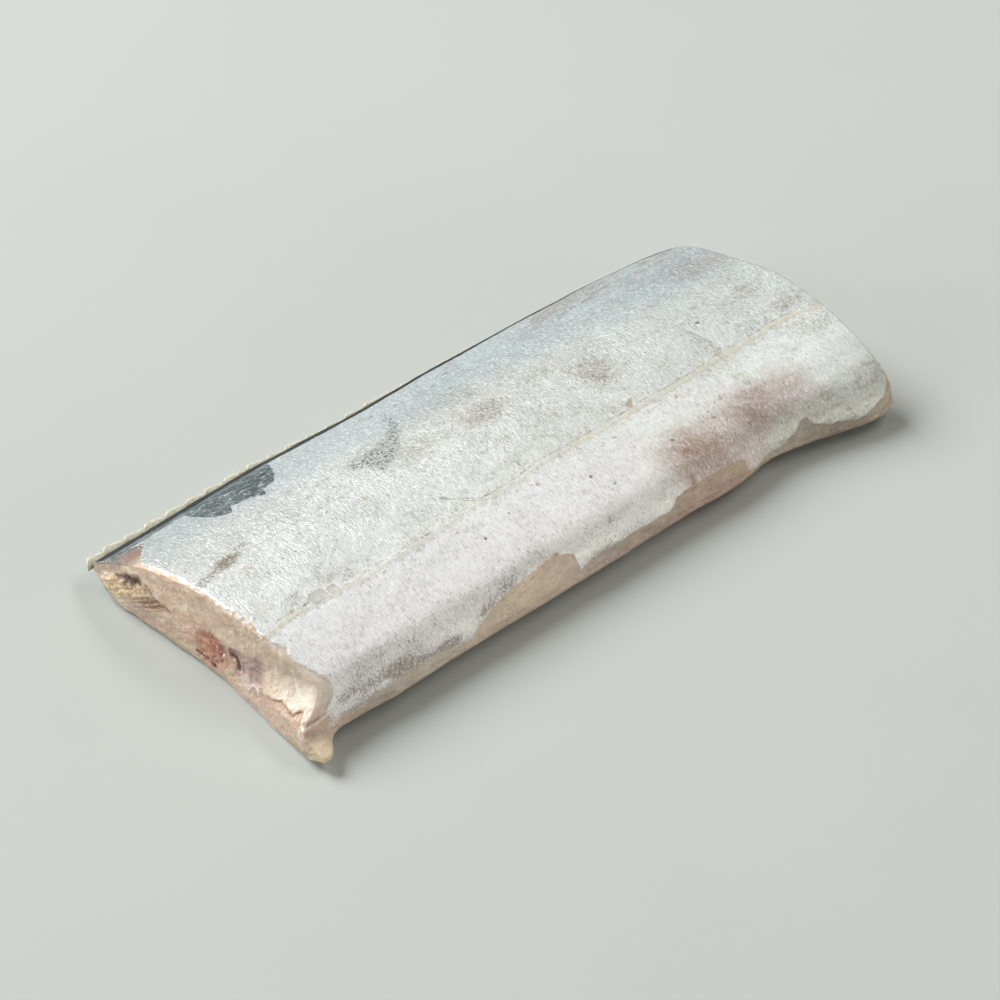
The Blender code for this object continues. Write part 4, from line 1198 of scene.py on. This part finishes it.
def body_material():
    g = Net("hairtail_skin_and_flesh")
    b = g.bsdf
    M = g.math

    # fine creases that run across the fish, short and broken
    crease = g.noise((3.3, 0.92, 1.1), 5, 3.0, 0.58, 0.6)
    crease2 = g.noise((2.6, 1.2, 1.3), -24, 3.0, 0.60, 0.7, (7, 3, 1))
    foil = g.noise((0.85, 0.62, 0.62), 12, 4.0, 0.62, 0.8, (2, 2, 7))
    dirt = g.attr("dirt")
    lines = M("ADD", M("MULTIPLY", crease, 0.72), M("MULTIPLY", crease2, 0.28))
    grain = g.noise((4.4, 3.6, 3.6), 0, 2.0, 0.6)
    blotch = g.noise((0.42, 0.34, 0.34), 0, 5.0, 0.62, 0.6, (3, 9, 2))
    longl = g.noise((0.10, 2.4, 2.4), 0, 3.0, 0.6, 0.2, (1, 4, 2))
    edge_n = g.noise((0.62, 0.62, 0.62), 0, 6.0, 0.68, 0.3, (11, 5, 0))
    edge = M("MULTIPLY_ADD", edge_n, 3.4, -1.7)

    # ---------------------------------------------------------- silver skin
    col = g.attr("skin_col", True)
    # painted shade and highlight of the fine creases: the crease noise darkens the colour in the troughs and lightens
    # it on the crests
    fine = M("ADD", M("MULTIPLY", lines, 0.70), M("MULTIPLY", grain, 0.30))
    col = g.mix(col, g.ranged(fine, 0.38, 0.62, 0.82, 1.12), 1.0, "MULTIPLY")
    patchy = g.step(g.noise((0.17, 0.21, 0.21), 0, 5.0, 0.68, 0.9, (5, 8, 2)), 0.42, 0.64)
    soil = M("MAXIMUM", M("MULTIPLY", patchy, 0.55), dirt)
    soil_n = g.step(g.noise((0.55, 0.50, 0.50), 20, 5.0, 0.70, 0.8, (9, 3, 6)), 0.36, 0.60)
    upper = g.step(g.attr("lateral"), -2.9, -0.4)
    quiet = M("MULTIPLY_ADD", upper, 0.42, 0.58)
    stain = M("MULTIPLY", M("MULTIPLY", soil, soil_n), M("MULTIPLY", quiet, 0.60))
    col = g.mix(col, tuple(srgb(158, 150, 143)), stain)
    # painted shade in the crease troughs, stronger where the silver is soiled, so partly dirt
    groove_shade = g.step(lines, 0.455, 0.37)
    depth = M("MULTIPLY", quiet, M("MULTIPLY_ADD", soil, 0.80, 0.16))
    col = g.mix(col, tuple(srgb(132, 122, 111)), M("MULTIPLY", groove_shade, depth))
    # painted highlight: near-white on the crease crests
    crest_highlight = g.step(lines, 0.550, 0.605)
    col = g.mix(col, tuple(srgb(252, 252, 251)), M("MULTIPLY", crest_highlight, 0.56))
    sheen = g.step(foil, 0.52, 0.68)
    col = g.mix(col, tuple(srgb(244, 247, 248)), M("MULTIPLY", sheen, 0.22))
    blot = g.step(blotch, 0.50, 0.66)
    col = g.mix(col, tuple(srgb(206, 205, 200)), M("MULTIPLY", blot, M("MULTIPLY", quiet, 0.26)))
    ll = g.step(longl, 0.60, 0.70)
    col = g.mix(col, tuple(srgb(190, 188, 182)), M("MULTIPLY", ll, 0.24))
    clump = g.step(g.noise((0.30, 0.25, 0.25), 0, 3.0, 0.6, 0.3, (8, 2, 3)), 0.44, 0.62)
    specks = g.step(g.noise((3.4, 2.4, 2.6), 18, 3.0, 0.55, 0.3, (3, 3, 8)), 0.60, 0.67)
    frk = g.attr("freckle")
    dens = M("MAXIMUM", M("MULTIPLY", clump, 0.16), M("MULTIPLY", frk, 0.8))
    col = g.mix(col, tuple(srgb(140, 130, 120)), M("MULTIPLY", specks, M("MULTIPLY", dens, 0.62)))
    brownish = g.step(g.noise((1.5, 1.2, 1.2), 30, 3.0, 0.6, 0.3, (1, 7, 8)), 0.60, 0.68)
    col = g.mix(col, tuple(srgb(156, 116, 90)), M("MULTIPLY", brownish, M("MULTIPLY", frk, 0.80)))

    # worn grey places: broken hatching that runs across the fish
    rub = g.attr("rub")
    hatch = M("MAXIMUM", g.noise((2.9, 1.5, 2.0), 28, 3.0, 0.62, 0.6, (5, 1, 7)),
              M("SUBTRACT", g.noise((2.8, 1.4, 1.9), -28, 3.0, 0.62, 0.6, (2, 6, 4)), 0.01))
    rubm = g.step(M("ADD", M("MULTIPLY", rub, 0.22), hatch), 0.66, 0.77)
    haze = g.step(rub, 0.1, 1.0)
    col = g.mix(col, tuple(srgb(194, 187, 176)), M("MULTIPLY", haze, 0.16))
    ink = M("MULTIPLY", M("MULTIPLY_ADD", rub, 0.66, 0.20), M("MULTIPLY_ADD", upper, 0.20, 0.80))
    col = g.mix(col, tuple(srgb(114, 96, 77)), M("MULTIPLY", rubm, ink))
    rp = g.step(M("ADD", g.attr("rough_patch"), M("MULTIPLY", edge, 1.3)), -1.4, 1.2)
    rps = g.step(M("ADD", hatch, M("MULTIPLY", rp, 0.08)), 0.60, 0.68)
    col = g.mix(col, tuple(srgb(168, 170, 168)), M("MULTIPLY", rp, 0.25))
    col = g.mix(col, tuple(srgb(62, 62, 58)), M("MULTIPLY", rps, M("MULTIPLY", rp, 0.80)))

    # lateral line: a thin cream cord with broken brown dashes beside it
    lat = g.attr("lateral")
    wig = M("ADD", lat, g.ranged(g.noise((0.20, 0.05, 0.05), 0, 3.0, 0.6), 0.3, 0.7, -0.32, 0.32))
    lwide = g.attr("lat_wide")
    lfade = g.step(g.noise((0.13, 0.05, 0.05), 0, 3.0, 0.6, 0, (5, 5, 1)), 0.34, 0.56)
    dash = g.step(g.noise((0.40, 1.2, 1.2), 0, 4.0, 0.75, 0, (2, 2, 2)), 0.47, 0.60)
    near_l = g.step(M("DIVIDE", M("ABSOLUTE", wig), lwide), 1.0, 0.42)
    strand = g.step(g.noise((0.35, 4.2, 4.2), 0, 3.0, 0.6, 0.2, (7, 7, 3)), 0.34, 0.56)
    lstr = M("MULTIPLY", M("MULTIPLY_ADD", dash, 0.20, 0.60), M("MULTIPLY_ADD", lfade, 0.50, 0.50))
    lstr = M("MULTIPLY", lstr, M("MULTIPLY_ADD", strand, 0.55, 0.45))
    col = g.mix(col, tuple(srgb(222, 214, 195)), M("MULTIPLY", near_l, lstr))
    dots = g.step(g.noise((2.2, 0.3, 0.3), 0, 2.0, 0.6, 0, (2, 9, 2)), 0.45, 0.55)
    beside = g.step(M("ABSOLUTE", M("SUBTRACT", wig, 0.72)), 0.34, 0.10)
    beside2 = g.step(M("ABSOLUTE", M("ADD", wig, 0.62)), 0.26, 0.06)
    both = M("MAXIMUM", beside, M("MULTIPLY", beside2, 0.45))
    col = g.mix(col, tuple(srgb(142, 134, 118)), M("MULTIPLY", M("MULTIPLY", M("MULTIPLY_ADD", dots, 0.6, 0.4), both), M("MULTIPLY_ADD", dash, 0.62, 0.22)))
    old = g.attr("old_line")
    oldm = g.step(M("ABSOLUTE", old), 0.36, 0.08)
    col = g.mix(col, tuple(srgb(176, 158, 142)), M("MULTIPLY", oldm, M("MULTIPLY_ADD", dash, 0.5, 0.12)))

    # dark blue-grey where the silver has worn off along the back
    dk = g.attr("dark")
    dkm = g.step(M("ADD", dk, M("MULTIPLY", edge, 0.40)), -0.10, 0.20)
    dk_tex = g.noise((0.42, 1.3, 1.3), -12, 4.0, 0.68, 0.9, (9, 9, 9))
    # painted highlights: pale squiggles across the dark patch
    squiggle_highlight = g.step(g.noise((0.8, 1.7, 1.7), -14, 3.0, 0.62, 1.2, (3, 1, 9)), 0.56, 0.64)
    dk_col = g.mix(tuple(srgb(38, 48, 52)), tuple(srgb(134, 147, 151)), g.step(dk_tex, 0.42, 0.72))
    dk_col = g.mix(dk_col, tuple(srgb(212, 218, 219)), M("MULTIPLY", squiggle_highlight, 0.62))
    ridge = g.attr("ridge")
    run = g.noise((0.16, 2.1, 2.1), 0, 4.0, 0.66, 0.3, (4, 8, 3))
    on_ridge = g.step(M("ADD", ridge, M("MULTIPLY_ADD", run, 1.8, -0.9)), 5.4, 4.2)
    band = g.mix(tuple(srgb(58, 72, 78)), tuple(srgb(146, 158, 162)), g.step(run, 0.44, 0.66))
    black = g.edge(M("ADD", ridge, M("MULTIPLY_ADD", run, 2.0, -1.0)), g.attr("black_w"), 0.7)
    band = g.mix(band, tuple(srgb(10, 15, 18)), M("MULTIPLY", black, 0.97))
    nick = g.step(g.noise((0.9, 2.4, 2.4), -18, 4.0, 0.66, 0.8, (6, 2, 5)), 0.56, 0.66)
    band = g.mix(band, tuple(srgb(150, 162, 166)), M("MULTIPLY", nick, 0.40))
    dk_col = g.mix(dk_col, band, on_ridge)
    col = g.mix(col, dk_col, dkm)

    # flecks, windows and specks
    fl = g.step(M("ADD", g.attr("fleck"), M("ADD", M("MULTIPLY", edge, 0.45), M("MULTIPLY_ADD", lines, 1.6, -0.8))), -0.02, 0.22)
    col = g.mix(col, tuple(srgb(168, 146, 122)), M("MULTIPLY", fl, 0.80))
    win = g.attr("window")
    wn = g.step(M("ADD", win, M("MULTIPLY", edge, 0.10)), -0.04, 0.08)
    col = g.mix(col, tuple(srgb(192, 186, 176)), M("MULTIPLY", wn, 0.62))
    rim = g.step(M("ABSOLUTE", M("ADD", win, M("MULTIPLY_ADD", edge, 0.10, 0.02))), 0.16, 0.05)
    col = g.mix(col, tuple(srgb(158, 150, 138)), M("MULTIPLY", rim, 0.42))
    sp = g.step(M("ADD", g.attr("speck"), M("MULTIPLY", edge, 0.10)), -0.05, 0.12)
    col = g.mix(col, tuple(srgb(92, 86, 82)), M("MULTIPLY", sp, 0.80))
    tk = g.step(M("ADD", g.attr("tick"), M("MULTIPLY", edge, 0.08)), -0.06, 0.14)
    col = g.mix(col, tuple(srgb(140, 132, 122)), M("MULTIPLY", tk, 0.62))

    # ---------------------------------------------------------- bare flesh
    fcol = g.attr("flesh_col", True)
    fgr = g.noise((1.1, 1.1, 1.1), 0, 3.0, 0.55, 0.6, (2, 5, 6))
    blob = g.noise((0.42, 0.42, 0.42), 0, 2.0, 0.5, 0.5, (4, 1, 6))
    fcol = g.mix(fcol, g.ranged(fgr, 0.3, 0.7, 0.92, 1.08), 1.0, "MULTIPLY")
    veil = g.step(g.noise((0.55, 0.55, 0.75), 0, 5.0, 0.7, 0.9, (6, 1, 1)), 0.50, 0.70)
    fcol = g.mix(fcol, tuple(srgb(230, 217, 206)), M("MULTIPLY", veil, 0.36))
    strip = g.attr("strip")
    streaks = g.noise((0.45, 1.9, 1.9), 0, 4.0, 0.66, 0.6, (6, 3, 4))
    fcol = g.mix(fcol, tuple(srgb(214, 205, 184)), M("MULTIPLY", g.step(streaks, 0.54, 0.68), M("MULTIPLY", strip, 0.45)))
    fcol = g.mix(fcol, tuple(srgb(128, 104, 88)), M("MULTIPLY", g.step(streaks, 0.44, 0.32), M("MULTIPLY", strip, 0.45)))
    hair = g.step(g.noise((2.6, 1.3, 1.3), 20, 3.0, 0.62, 0.6, (2, 8, 6)), 0.58, 0.68)
    fcol = g.mix(fcol, tuple(srgb(136, 112, 94)), M("MULTIPLY", hair, M("MULTIPLY", strip, 0.40)))
    wet = g.attr("wet")
    gl_n = g.noise((2.1, 2.1, 2.1), 0, 3.0, 0.6, 0.5, (1, 2, 6))
    glint = g.step(M("ADD", gl_n, M("MULTIPLY", wet, 0.07)), 0.675, 0.73)
    fcol = g.mix(fcol, tuple(srgb(250, 247, 242)), M("MULTIPLY", glint, 0.85))

    sk = g.attr("skin")
    fuzz = g.attr("fuzz")
    ske = M("ADD", sk, M("MULTIPLY", edge, M("MULTIPLY_ADD", g.attr("near_edge"), 0.85, 0.40)))
    ske = M("ADD", ske, M("MULTIPLY", M("SUBTRACT", 0.56, hatch), M("MULTIPLY_ADD", fuzz, 4.2, 0.8)))
    skm = g.step(ske, -0.06, 0.10)
    fringe = M("MULTIPLY", g.step(ske, 0.75, 0.15), g.attr("near_edge"))
    fringe = M("MULTIPLY", fringe, g.step(edge_n, 0.46, 0.60))
    col = g.mix(col, tuple(srgb(247, 248, 246)), M("MULTIPLY", fringe, 0.35))
    base = g.mix(fcol, col, skm)
    g.link(base, b.inputs["Base Color"])

    # gloss
    worn = M("MAXIMUM", M("MAXIMUM", fl, wn), M("MAXIMUM", rubm, M("MULTIPLY", haze, 0.6)))
    worn = M("MAXIMUM", worn, M("MULTIPLY", dkm, 1.2))
    met = M("MULTIPLY", skm, M("MULTIPLY", g.attr("metal"), M("MULTIPLY_ADD", worn, -0.75, 1.0)))
    g.link(met, b.inputs["Metallic"])
    rs = g.ranged(grain, 0.3, 0.7, 0.36, 0.52)
    dull = M("MULTIPLY", dkm, M("MULTIPLY", black, on_ridge))
    rs = M("ADD", rs, M("MULTIPLY", dull, 0.40))
    rf = M("SUBTRACT", g.ranged(fgr, 0.3, 0.7, 0.17, 0.30), M("MULTIPLY", wet, 0.06))
    rf = M("ADD", rf, M("ADD", M("MULTIPLY", strip, 0.16), M("MULTIPLY", g.attr("flap"), 0.22)))
    nd = g.node("ShaderNodeMix", data_type="FLOAT")
    g.link(skm, nd.inputs["Factor"])
    g.link(rf, nd.inputs[2])
    g.link(rs, nd.inputs[3])
    g.link(nd.outputs[0], b.inputs["Roughness"])
    sub = M("MULTIPLY", M("SUBTRACT", 1.0, skm), 0.45)
    g.link(sub, b.inputs["Subsurface Weight"])
    b.inputs["Subsurface Radius"].default_value = (1.0, 0.5, 0.32)
    b.inputs["Subsurface Scale"].default_value = 0.0013
    b.inputs["Specular IOR Level"].default_value = 0.5

    # bump: creases on skin, moist grain on flesh
    hs = M("ADD", M("MULTIPLY", lines, 0.66), M("ADD", M("MULTIPLY", grain, 0.20), M("MULTIPLY", foil, 0.50)))
    hs = M("SUBTRACT", hs, M("MULTIPLY", rubm, 0.15))
    hf = M("ADD", M("MULTIPLY", fgr, 0.95), M("MULTIPLY", M("ADD", veil, glint), 0.20))
    hf = M("ADD", hf, M("MULTIPLY", blob, 1.4))
    hf = M("MULTIPLY", hf, M("MULTIPLY_ADD", g.attr("flap"), -0.55, 1.0))
    nd = g.node("ShaderNodeMix", data_type="FLOAT")
    g.link(skm, nd.inputs["Factor"])
    g.link(hf, nd.inputs[2])
    g.link(hs, nd.inputs[3])
    hh = M("ADD", nd.outputs[0], M("MULTIPLY", skm, 0.50))
    hh = M("SUBTRACT", hh, M("MULTIPLY", dkm, 0.12))
    hh = M("ADD", hh, M("MULTIPLY", rim, 0.2))
    g.link(g.bump(hh, 0.80, 0.00034), b.inputs["Normal"])
    return g.mat


def fin_material():
    g = Net("hairtail_fin_membrane")
    b = g.bsdf
    M = g.math
    ray = g.attr("ray")
    n = g.noise((0.9, 1.6, 1.6), 0, 4.0, 0.6)
    col = g.mix(tuple(srgb(206, 203, 188)), tuple(srgb(182, 177, 154)), g.step(n, 0.4, 0.65))
    col = g.mix(col, tuple(srgb(232, 230, 220)), M("MULTIPLY", ray, 0.40))
    col = g.mix(col, tuple(srgb(158, 150, 122)), M("MULTIPLY", g.attr("root"), 0.42))
    g.link(col, b.inputs["Base Color"])
    g.link(g.ranged(n, 0.3, 0.7, 0.28, 0.45), b.inputs["Roughness"])
    b.inputs["Subsurface Weight"].default_value = 0.4
    b.inputs["Subsurface Radius"].default_value = (1.0, 0.8, 0.5)
    b.inputs["Subsurface Scale"].default_value = 0.0015
    fine = g.noise((3.0, 5.0, 5.0), 30, 3.0, 0.6)
    g.link(g.bump(fine, 0.5, 0.0002), b.inputs["Normal"])
    return g.mat


def bone_material():
    g = Net("hairtail_backbone")
    b = g.bsdf
    M = g.math
    n = g.noise((1.1, 1.1, 1.1), 0, 5.0, 0.70, 0.8)
    fine = g.noise((3.2, 3.2, 3.2), 0, 3.0, 0.6, 0.4)
    col = g.mix(tuple(srgb(206, 166, 134)), tuple(srgb(158, 98, 72)), g.step(n, 0.40, 0.60))
    col = g.mix(col, g.attr("bone_col", True), M("MULTIPLY", g.attr("end"), 0.85))
    col = g.mix(col, tuple(srgb(96, 40, 36)), M("MULTIPLY", g.attr("rim"), 0.60))
    col = g.mix(col, tuple(srgb(240, 228, 214)), M("MULTIPLY", g.step(fine, 0.57, 0.68), 0.55))
    col = g.mix(col, tuple(srgb(246, 240, 232)), g.attr("glint"))
    g.link(col, b.inputs["Base Color"])
    g.link(g.ranged(fine, 0.3, 0.7, 0.20, 0.40), b.inputs["Roughness"])
    b.inputs["Subsurface Weight"].default_value = 0.2
    b.inputs["Subsurface Radius"].default_value = (1.0, 0.4, 0.25)
    b.inputs["Subsurface Scale"].default_value = 0.001
    hh = M("ADD", n, M("MULTIPLY", fine, 0.4))
    g.link(g.bump(hh, 0.9, 0.00035), b.inputs["Normal"])
    return g.mat


# ==================================================================== fin ====
def build_fin():
    """A strip of folded rays: free ends point to the near cut, like shingles."""
    span = FIN_END - FIN_START
    step = 0.3
    xs = np.arange(FIN_START, FIN_END + 0.001, step)
    across = 9
    t_all = (xs - FIN_START) / span
    ph = (xs - FIN_START) / RAY_PITCH
    ph = ph + 0.10 * noise(xs / 9, 0, 0, 5)
    k = np.floor(ph)
    f = ph - k
    size = 1 + 0.16 * noise(k * 1.7, 3.0, 0, 8)
    out = (RAY_OUT_NEAR + (RAY_OUT_FAR - RAY_OUT_NEAR) * t_all) * size
    drop = (0.50 + 0.22 * noise(k * 2.3, 9.0, 0, 6)) * (1 - 0.35 * t_all)
    # out from the free end (f 0) to the root of the ray (f 1)
    prof = out - drop * f ** 1.3
    prof = prof * (1 - 0.30 * np.exp(-(f / 0.10) ** 2))
    prof = prof + 0.10 * fbm(xs / 1.1, 0, 0, 3, 44)
    end = smooth(0, 1.4, xs - FIN_START) ** 0.5 * smooth(0, 2.0, FIN_END - xs) ** 0.5
    prof = np.maximum(prof * end, 0.12)
    y0, z0 = curve(BACK_EDGE, xs), ridge_z(xs)
    top, bot = [], []
    vs, ray, root = [], [], []
    ring = []
    for s in np.linspace(0, 1, across):
        ring.append((s, 1))
    for s in np.linspace(1, 0, across)[1:-1]:
        ring.append((s, -1))
    rows = []
    for s, side in ring:
        w = prof * s
        y = y0 + 0.45 + w
        tilt = -1.25 + 1.05 * (w / 2.3) + 0.22 * np.sin(np.clip(w / 2.3, 0, 1) * math.pi)
        # lift the free end of every ray a little over the next one
        lift = 0.30 * (1 - f) ** 2 * s * (1 - 0.3 * t_all)
        wave = 0.12 * fbm(xs / 5, s * 2.0, 0, 2, 33)
        thick = 0.34 * (1 - 0.55 * s ** 2) * np.clip(end, 0.3, 1)
        ribs = 0.07 * np.cos((ph * 3 + s * 0.8) * 2 * math.pi) * s
        z = z0 + tilt + lift + wave + side * (thick + (ribs if side > 0 else 0))
        if s == 0 or s == 1:
            z = z0 + tilt + lift + wave + side * 0.0 + 0.0
        rows.append(np.stack([xs, y, z], 1))
        ray.append(0.5 + 0.5 * np.cos((ph * 3 + s * 0.8) * 2 * math.pi))
        root.append(np.exp(-((1 - f) / 0.12) ** 2) + np.clip(0.6 - s, 0, 1))
    rows = np.stack(rows, 1)                     # station, ring, 3
    n, m = rows.shape[:2]
    V = rows.reshape(-1, 3)
    faces = []
    for i in range(n - 1):
        for j in range(m):
            q = (j + 1) % m
            faces.append((i * m + j, i * m + q, (i + 1) * m + q, (i + 1) * m + j))
    faces.append(tuple(range(m))[::-1])
    faces.append(tuple((n - 1) * m + j for j in range(m)))
    ob = mesh_object("hairtail_fin", world(V[:, 0], V[:, 1], V[:, 2]), faces)
    fix_normals(ob)
    put(ob.data, "ray", np.stack(ray, 1).ravel())
    put(ob.data, "root", np.clip(np.stack(root, 1).ravel(), 0, 1))
    return ob


def fix_normals(ob):
    import bmesh
    bm = bmesh.new()
    bm.from_mesh(ob.data)
    bmesh.ops.recalc_face_normals(bm, faces=bm.faces[:])
    open_edges = sum(1 for e in bm.edges if not e.is_manifold)
    if open_edges:
        print(ob.name, "open edges", open_edges)
    bm.to_mesh(ob.data)
    bm.free()
    ob.data.shade_smooth()


# ================================================================ backbone ====
def build_backbone():
    """The column of vertebrae; each is waisted, and both ends are hollowed."""
    k = 64
    ang = np.linspace(0, 2 * math.pi, k, endpoint=False)
    prof = []                                        # (x, radius) from near to far
    r0 = BONE_RADIUS - 0.01
    for s in np.linspace(0, 1, 13):                  # the near end
        prof.append((BONE_NEAR, 0.10 + (r0 - 0.16) * s))
    prof.append((BONE_NEAR, r0 - 0.02))
    xs = np.arange(BONE_NEAR + 0.5, BONE_FAR - 0.5, 0.62)
    for x in xs:
        ph = (x - BONE_NEAR) / 5.2
        waist = 0.5 - 0.5 * math.cos(2 * math.pi * ph)
        prof.append((x, r0 - 0.62 * waist))
    prof.append((BONE_FAR - 0.12, r0 - 0.06))
    prof.append((BONE_FAR, r0 - 0.28))
    for s in np.linspace(1, 0, 8):
        prof.append((BONE_FAR - 1.0 * (1 - s) ** 0.8, 0.12 + (r0 - 0.5) * s))
    V, rim, glint, end = [], [], [], []
    for i, (x, r) in enumerate(prof):
        wob = 1 + 0.035 * fbm(np.cos(ang) * 1.5, np.sin(ang) * 1.5, x / 3, 3, 21)
        rr = np.minimum(r * (wob if i > 16 else 1.0), BONE_RADIUS)
        xx = x + 0.10 * fbm(np.cos(ang) * rr, np.sin(ang) * rr, 2.0, 3, 22)
        yy, zz = BONE_Y + rr * np.cos(ang), BONE_Z + rr * np.sin(ang)
        if i < 14:                                   # follows the face of the cut
            dip = 0.10 * (1 - smooth(0.0, 1.6, rr)) + 0.03 * smooth(r0 - 0.35, r0, rr)
            xx = -HALF_LENGTH + near_shape(yy, zz) + face_relief(yy, zz, 1) + dip
            xx = xx + 0.14 * fbm(yy / 0.7, zz / 0.7, 3.0, 3, 58)
        V.append(np.stack([xx, yy, zz], 1))
        side = np.clip(np.cos(ang - math.radians(150)), 0, 1)
        rim.append(np.clip((r - 1.5) / 0.9, 0, 1) * 0.6 * side ** 2)
        mark = np.exp(-(stroke(yy, zz, [(-3.2, 5.6), (-3.6, 6.6), (-3.1, 7.2)]) / 0.26) ** 2)
        glint.append(mark * (x < BONE_NEAR + 1.5))
        end.append(np.full(k, 1.0 if x < BONE_NEAR + 1.3 else 0.0))
    V = np.stack(V)
    n, m = V.shape[:2]
    faces = []
    for i in range(n - 1):
        for j in range(m):
            q = (j + 1) % m
            faces.append((i * m + j, i * m + q, (i + 1) * m + q, (i + 1) * m + j))
    faces.append(tuple(range(m))[::-1])
    faces.append(tuple((n - 1) * m + j for j in range(m)))
    W = V.reshape(-1, 3)
    ob = mesh_object("hairtail_backbone", world(W[:, 0], W[:, 1], W[:, 2]), faces)
    fix_normals(ob)
    put(ob.data, "rim", np.stack(rim).ravel())
    put(ob.data, "glint", np.stack(glint).ravel())
    put(ob.data, "end", np.stack(end).ravel())
    base = flesh_colour(W[:, 0], W[:, 1], W[:, 2], 8.0 + 0 * W[:, 0])
    put(ob.data, "bone_col", face_paint(base, W[:, 1], W[:, 2], 1))
    return ob


# ============================================================ build it all ====
body = build_body()
body.data.materials.append(body_material())
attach(body, "root")
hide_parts("flesh")

fin = build_fin()
fin.data.materials.append(fin_material())
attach(fin, "root")
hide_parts("dorsal_fin")

bone = build_backbone()
bone.data.materials.append(bone_material())
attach(bone, "root")
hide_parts("backbone")


# ================================================================== studio ====
def floor():
    bpy.ops.mesh.primitive_plane_add(size=6.0, location=(0, 0, -0.0002))
    ob = bpy.context.object
    ob.name = "studio_floor"
    g = Net("studio_floor")
    n = g.noise((0.012, 0.012, 0.012), 0, 3.0, 0.5)
    col = g.mix(tuple(srgb(188, 191, 187)), tuple(srgb(184, 187, 183)), n)
    g.link(col, g.bsdf.inputs["Base Color"])
    g.bsdf.inputs["Roughness"].default_value = 0.85
    g.bsdf.inputs["Specular IOR Level"].default_value = 0.2
    ob.data.materials.append(g.mat)


def area(name, at, target, size, power, colour, tall=None):
    li = bpy.data.lights.new(name, "AREA")
    li.shape = "ELLIPSE" if tall else "DISK"
    li.size = size
    if tall:
        li.size_y = tall
    li.energy = power
    li.color = colour
    ob = bpy.data.objects.new(name, li)
    bpy.context.scene.collection.objects.link(ob)
    ob.location = at
    ob.rotation_euler = (Vector(target) - Vector(at)).to_track_quat("-Z", "Y").to_euler()
    return ob


def studio():
    floor()
    w = bpy.data.worlds.new("studio")
    bpy.context.scene.world = w
    w.use_nodes = True
    bg = w.node_tree.nodes["Background"]
    # a dome that is bright on the side away from the near cut
    tree = w.node_tree
    tc = tree.nodes.new("ShaderNodeTexCoord")
    sep = tree.nodes.new("ShaderNodeSeparateXYZ")
    tree.links.new(tc.outputs["Generated"], sep.inputs[0])
    mz = tree.nodes.new("ShaderNodeMath")
    mz.operation = "MULTIPLY"
    mz.inputs[1].default_value = 0.30
    tree.links.new(sep.outputs["Z"], mz.inputs[0])
    mx = tree.nodes.new("ShaderNodeMath")
    mx.operation = "MULTIPLY_ADD"
    mx.inputs[1].default_value = 0.80
    tree.links.new(sep.outputs["X"], mx.inputs[0])
    tree.links.new(mz.outputs[0], mx.inputs[2])
    rg = tree.nodes.new("ShaderNodeMapRange")
    rg.interpolation_type = "SMOOTHSTEP"
    rg.inputs["From Min"].default_value = 0.05
    rg.inputs["From Max"].default_value = 0.70
    tree.links.new(mx.outputs[0], rg.inputs["Value"])
    mc = tree.nodes.new("ShaderNodeMix")
    mc.data_type = "RGBA"
    tree.links.new(rg.outputs["Result"], mc.inputs["Factor"])
    mc.inputs[6].default_value = (0.22, 0.185, 0.165, 1.0)
    mc.inputs[7].default_value = (0.70, 0.72, 0.71, 1.0)
    tree.links.new(mc.outputs[2], bg.inputs["Color"])
    bg.inputs["Strength"].default_value = W_POWER
    area("key", (-0.50, 1.54, 1.455), (0, 0, 0), 1.5, K_POWER, (0.965, 1.0, 0.99))
    area("front", (0.45, -1.18, 0.17), (0, 0, 0.01), 1.4, S_POWER, (1.0, 0.935, 0.885), 0.32)
    area("strip", (0.67, -0.26, 1.08), (0, 0, 0.01), 1.3, U_POWER, (1.0, 0.98, 0.96), 0.35)
    area("side", (-1.20, 0.45, 0.50), (0, 0, 0.01), 0.9, T_POWER, (1.0, 0.95, 0.91))

    cam = bpy.data.cameras.new("photo_camera")
    cam.lens = 108.0
    cam.sensor_width = 36.0
    cam.clip_start = 0.01
    ob = bpy.data.objects.new("photo_camera", cam)
    bpy.context.scene.collection.objects.link(ob)
    at = Vector(((-315.96 - MID_X) / 1000, (-347.49 - MID_Y) / 1000, 0.39354))
    aim = Vector(((-2.13 - MID_X) / 1000, (1.06 - MID_Y) / 1000, 0.0))
    ob.location = at
    ob.rotation_euler = (aim - at).to_track_quat("-Z", "Y").to_euler()
    bpy.context.scene.camera = ob
    bpy.context.scene.view_settings.view_transform = "Standard"
    bpy.context.scene.view_settings.look = "None"


studio()
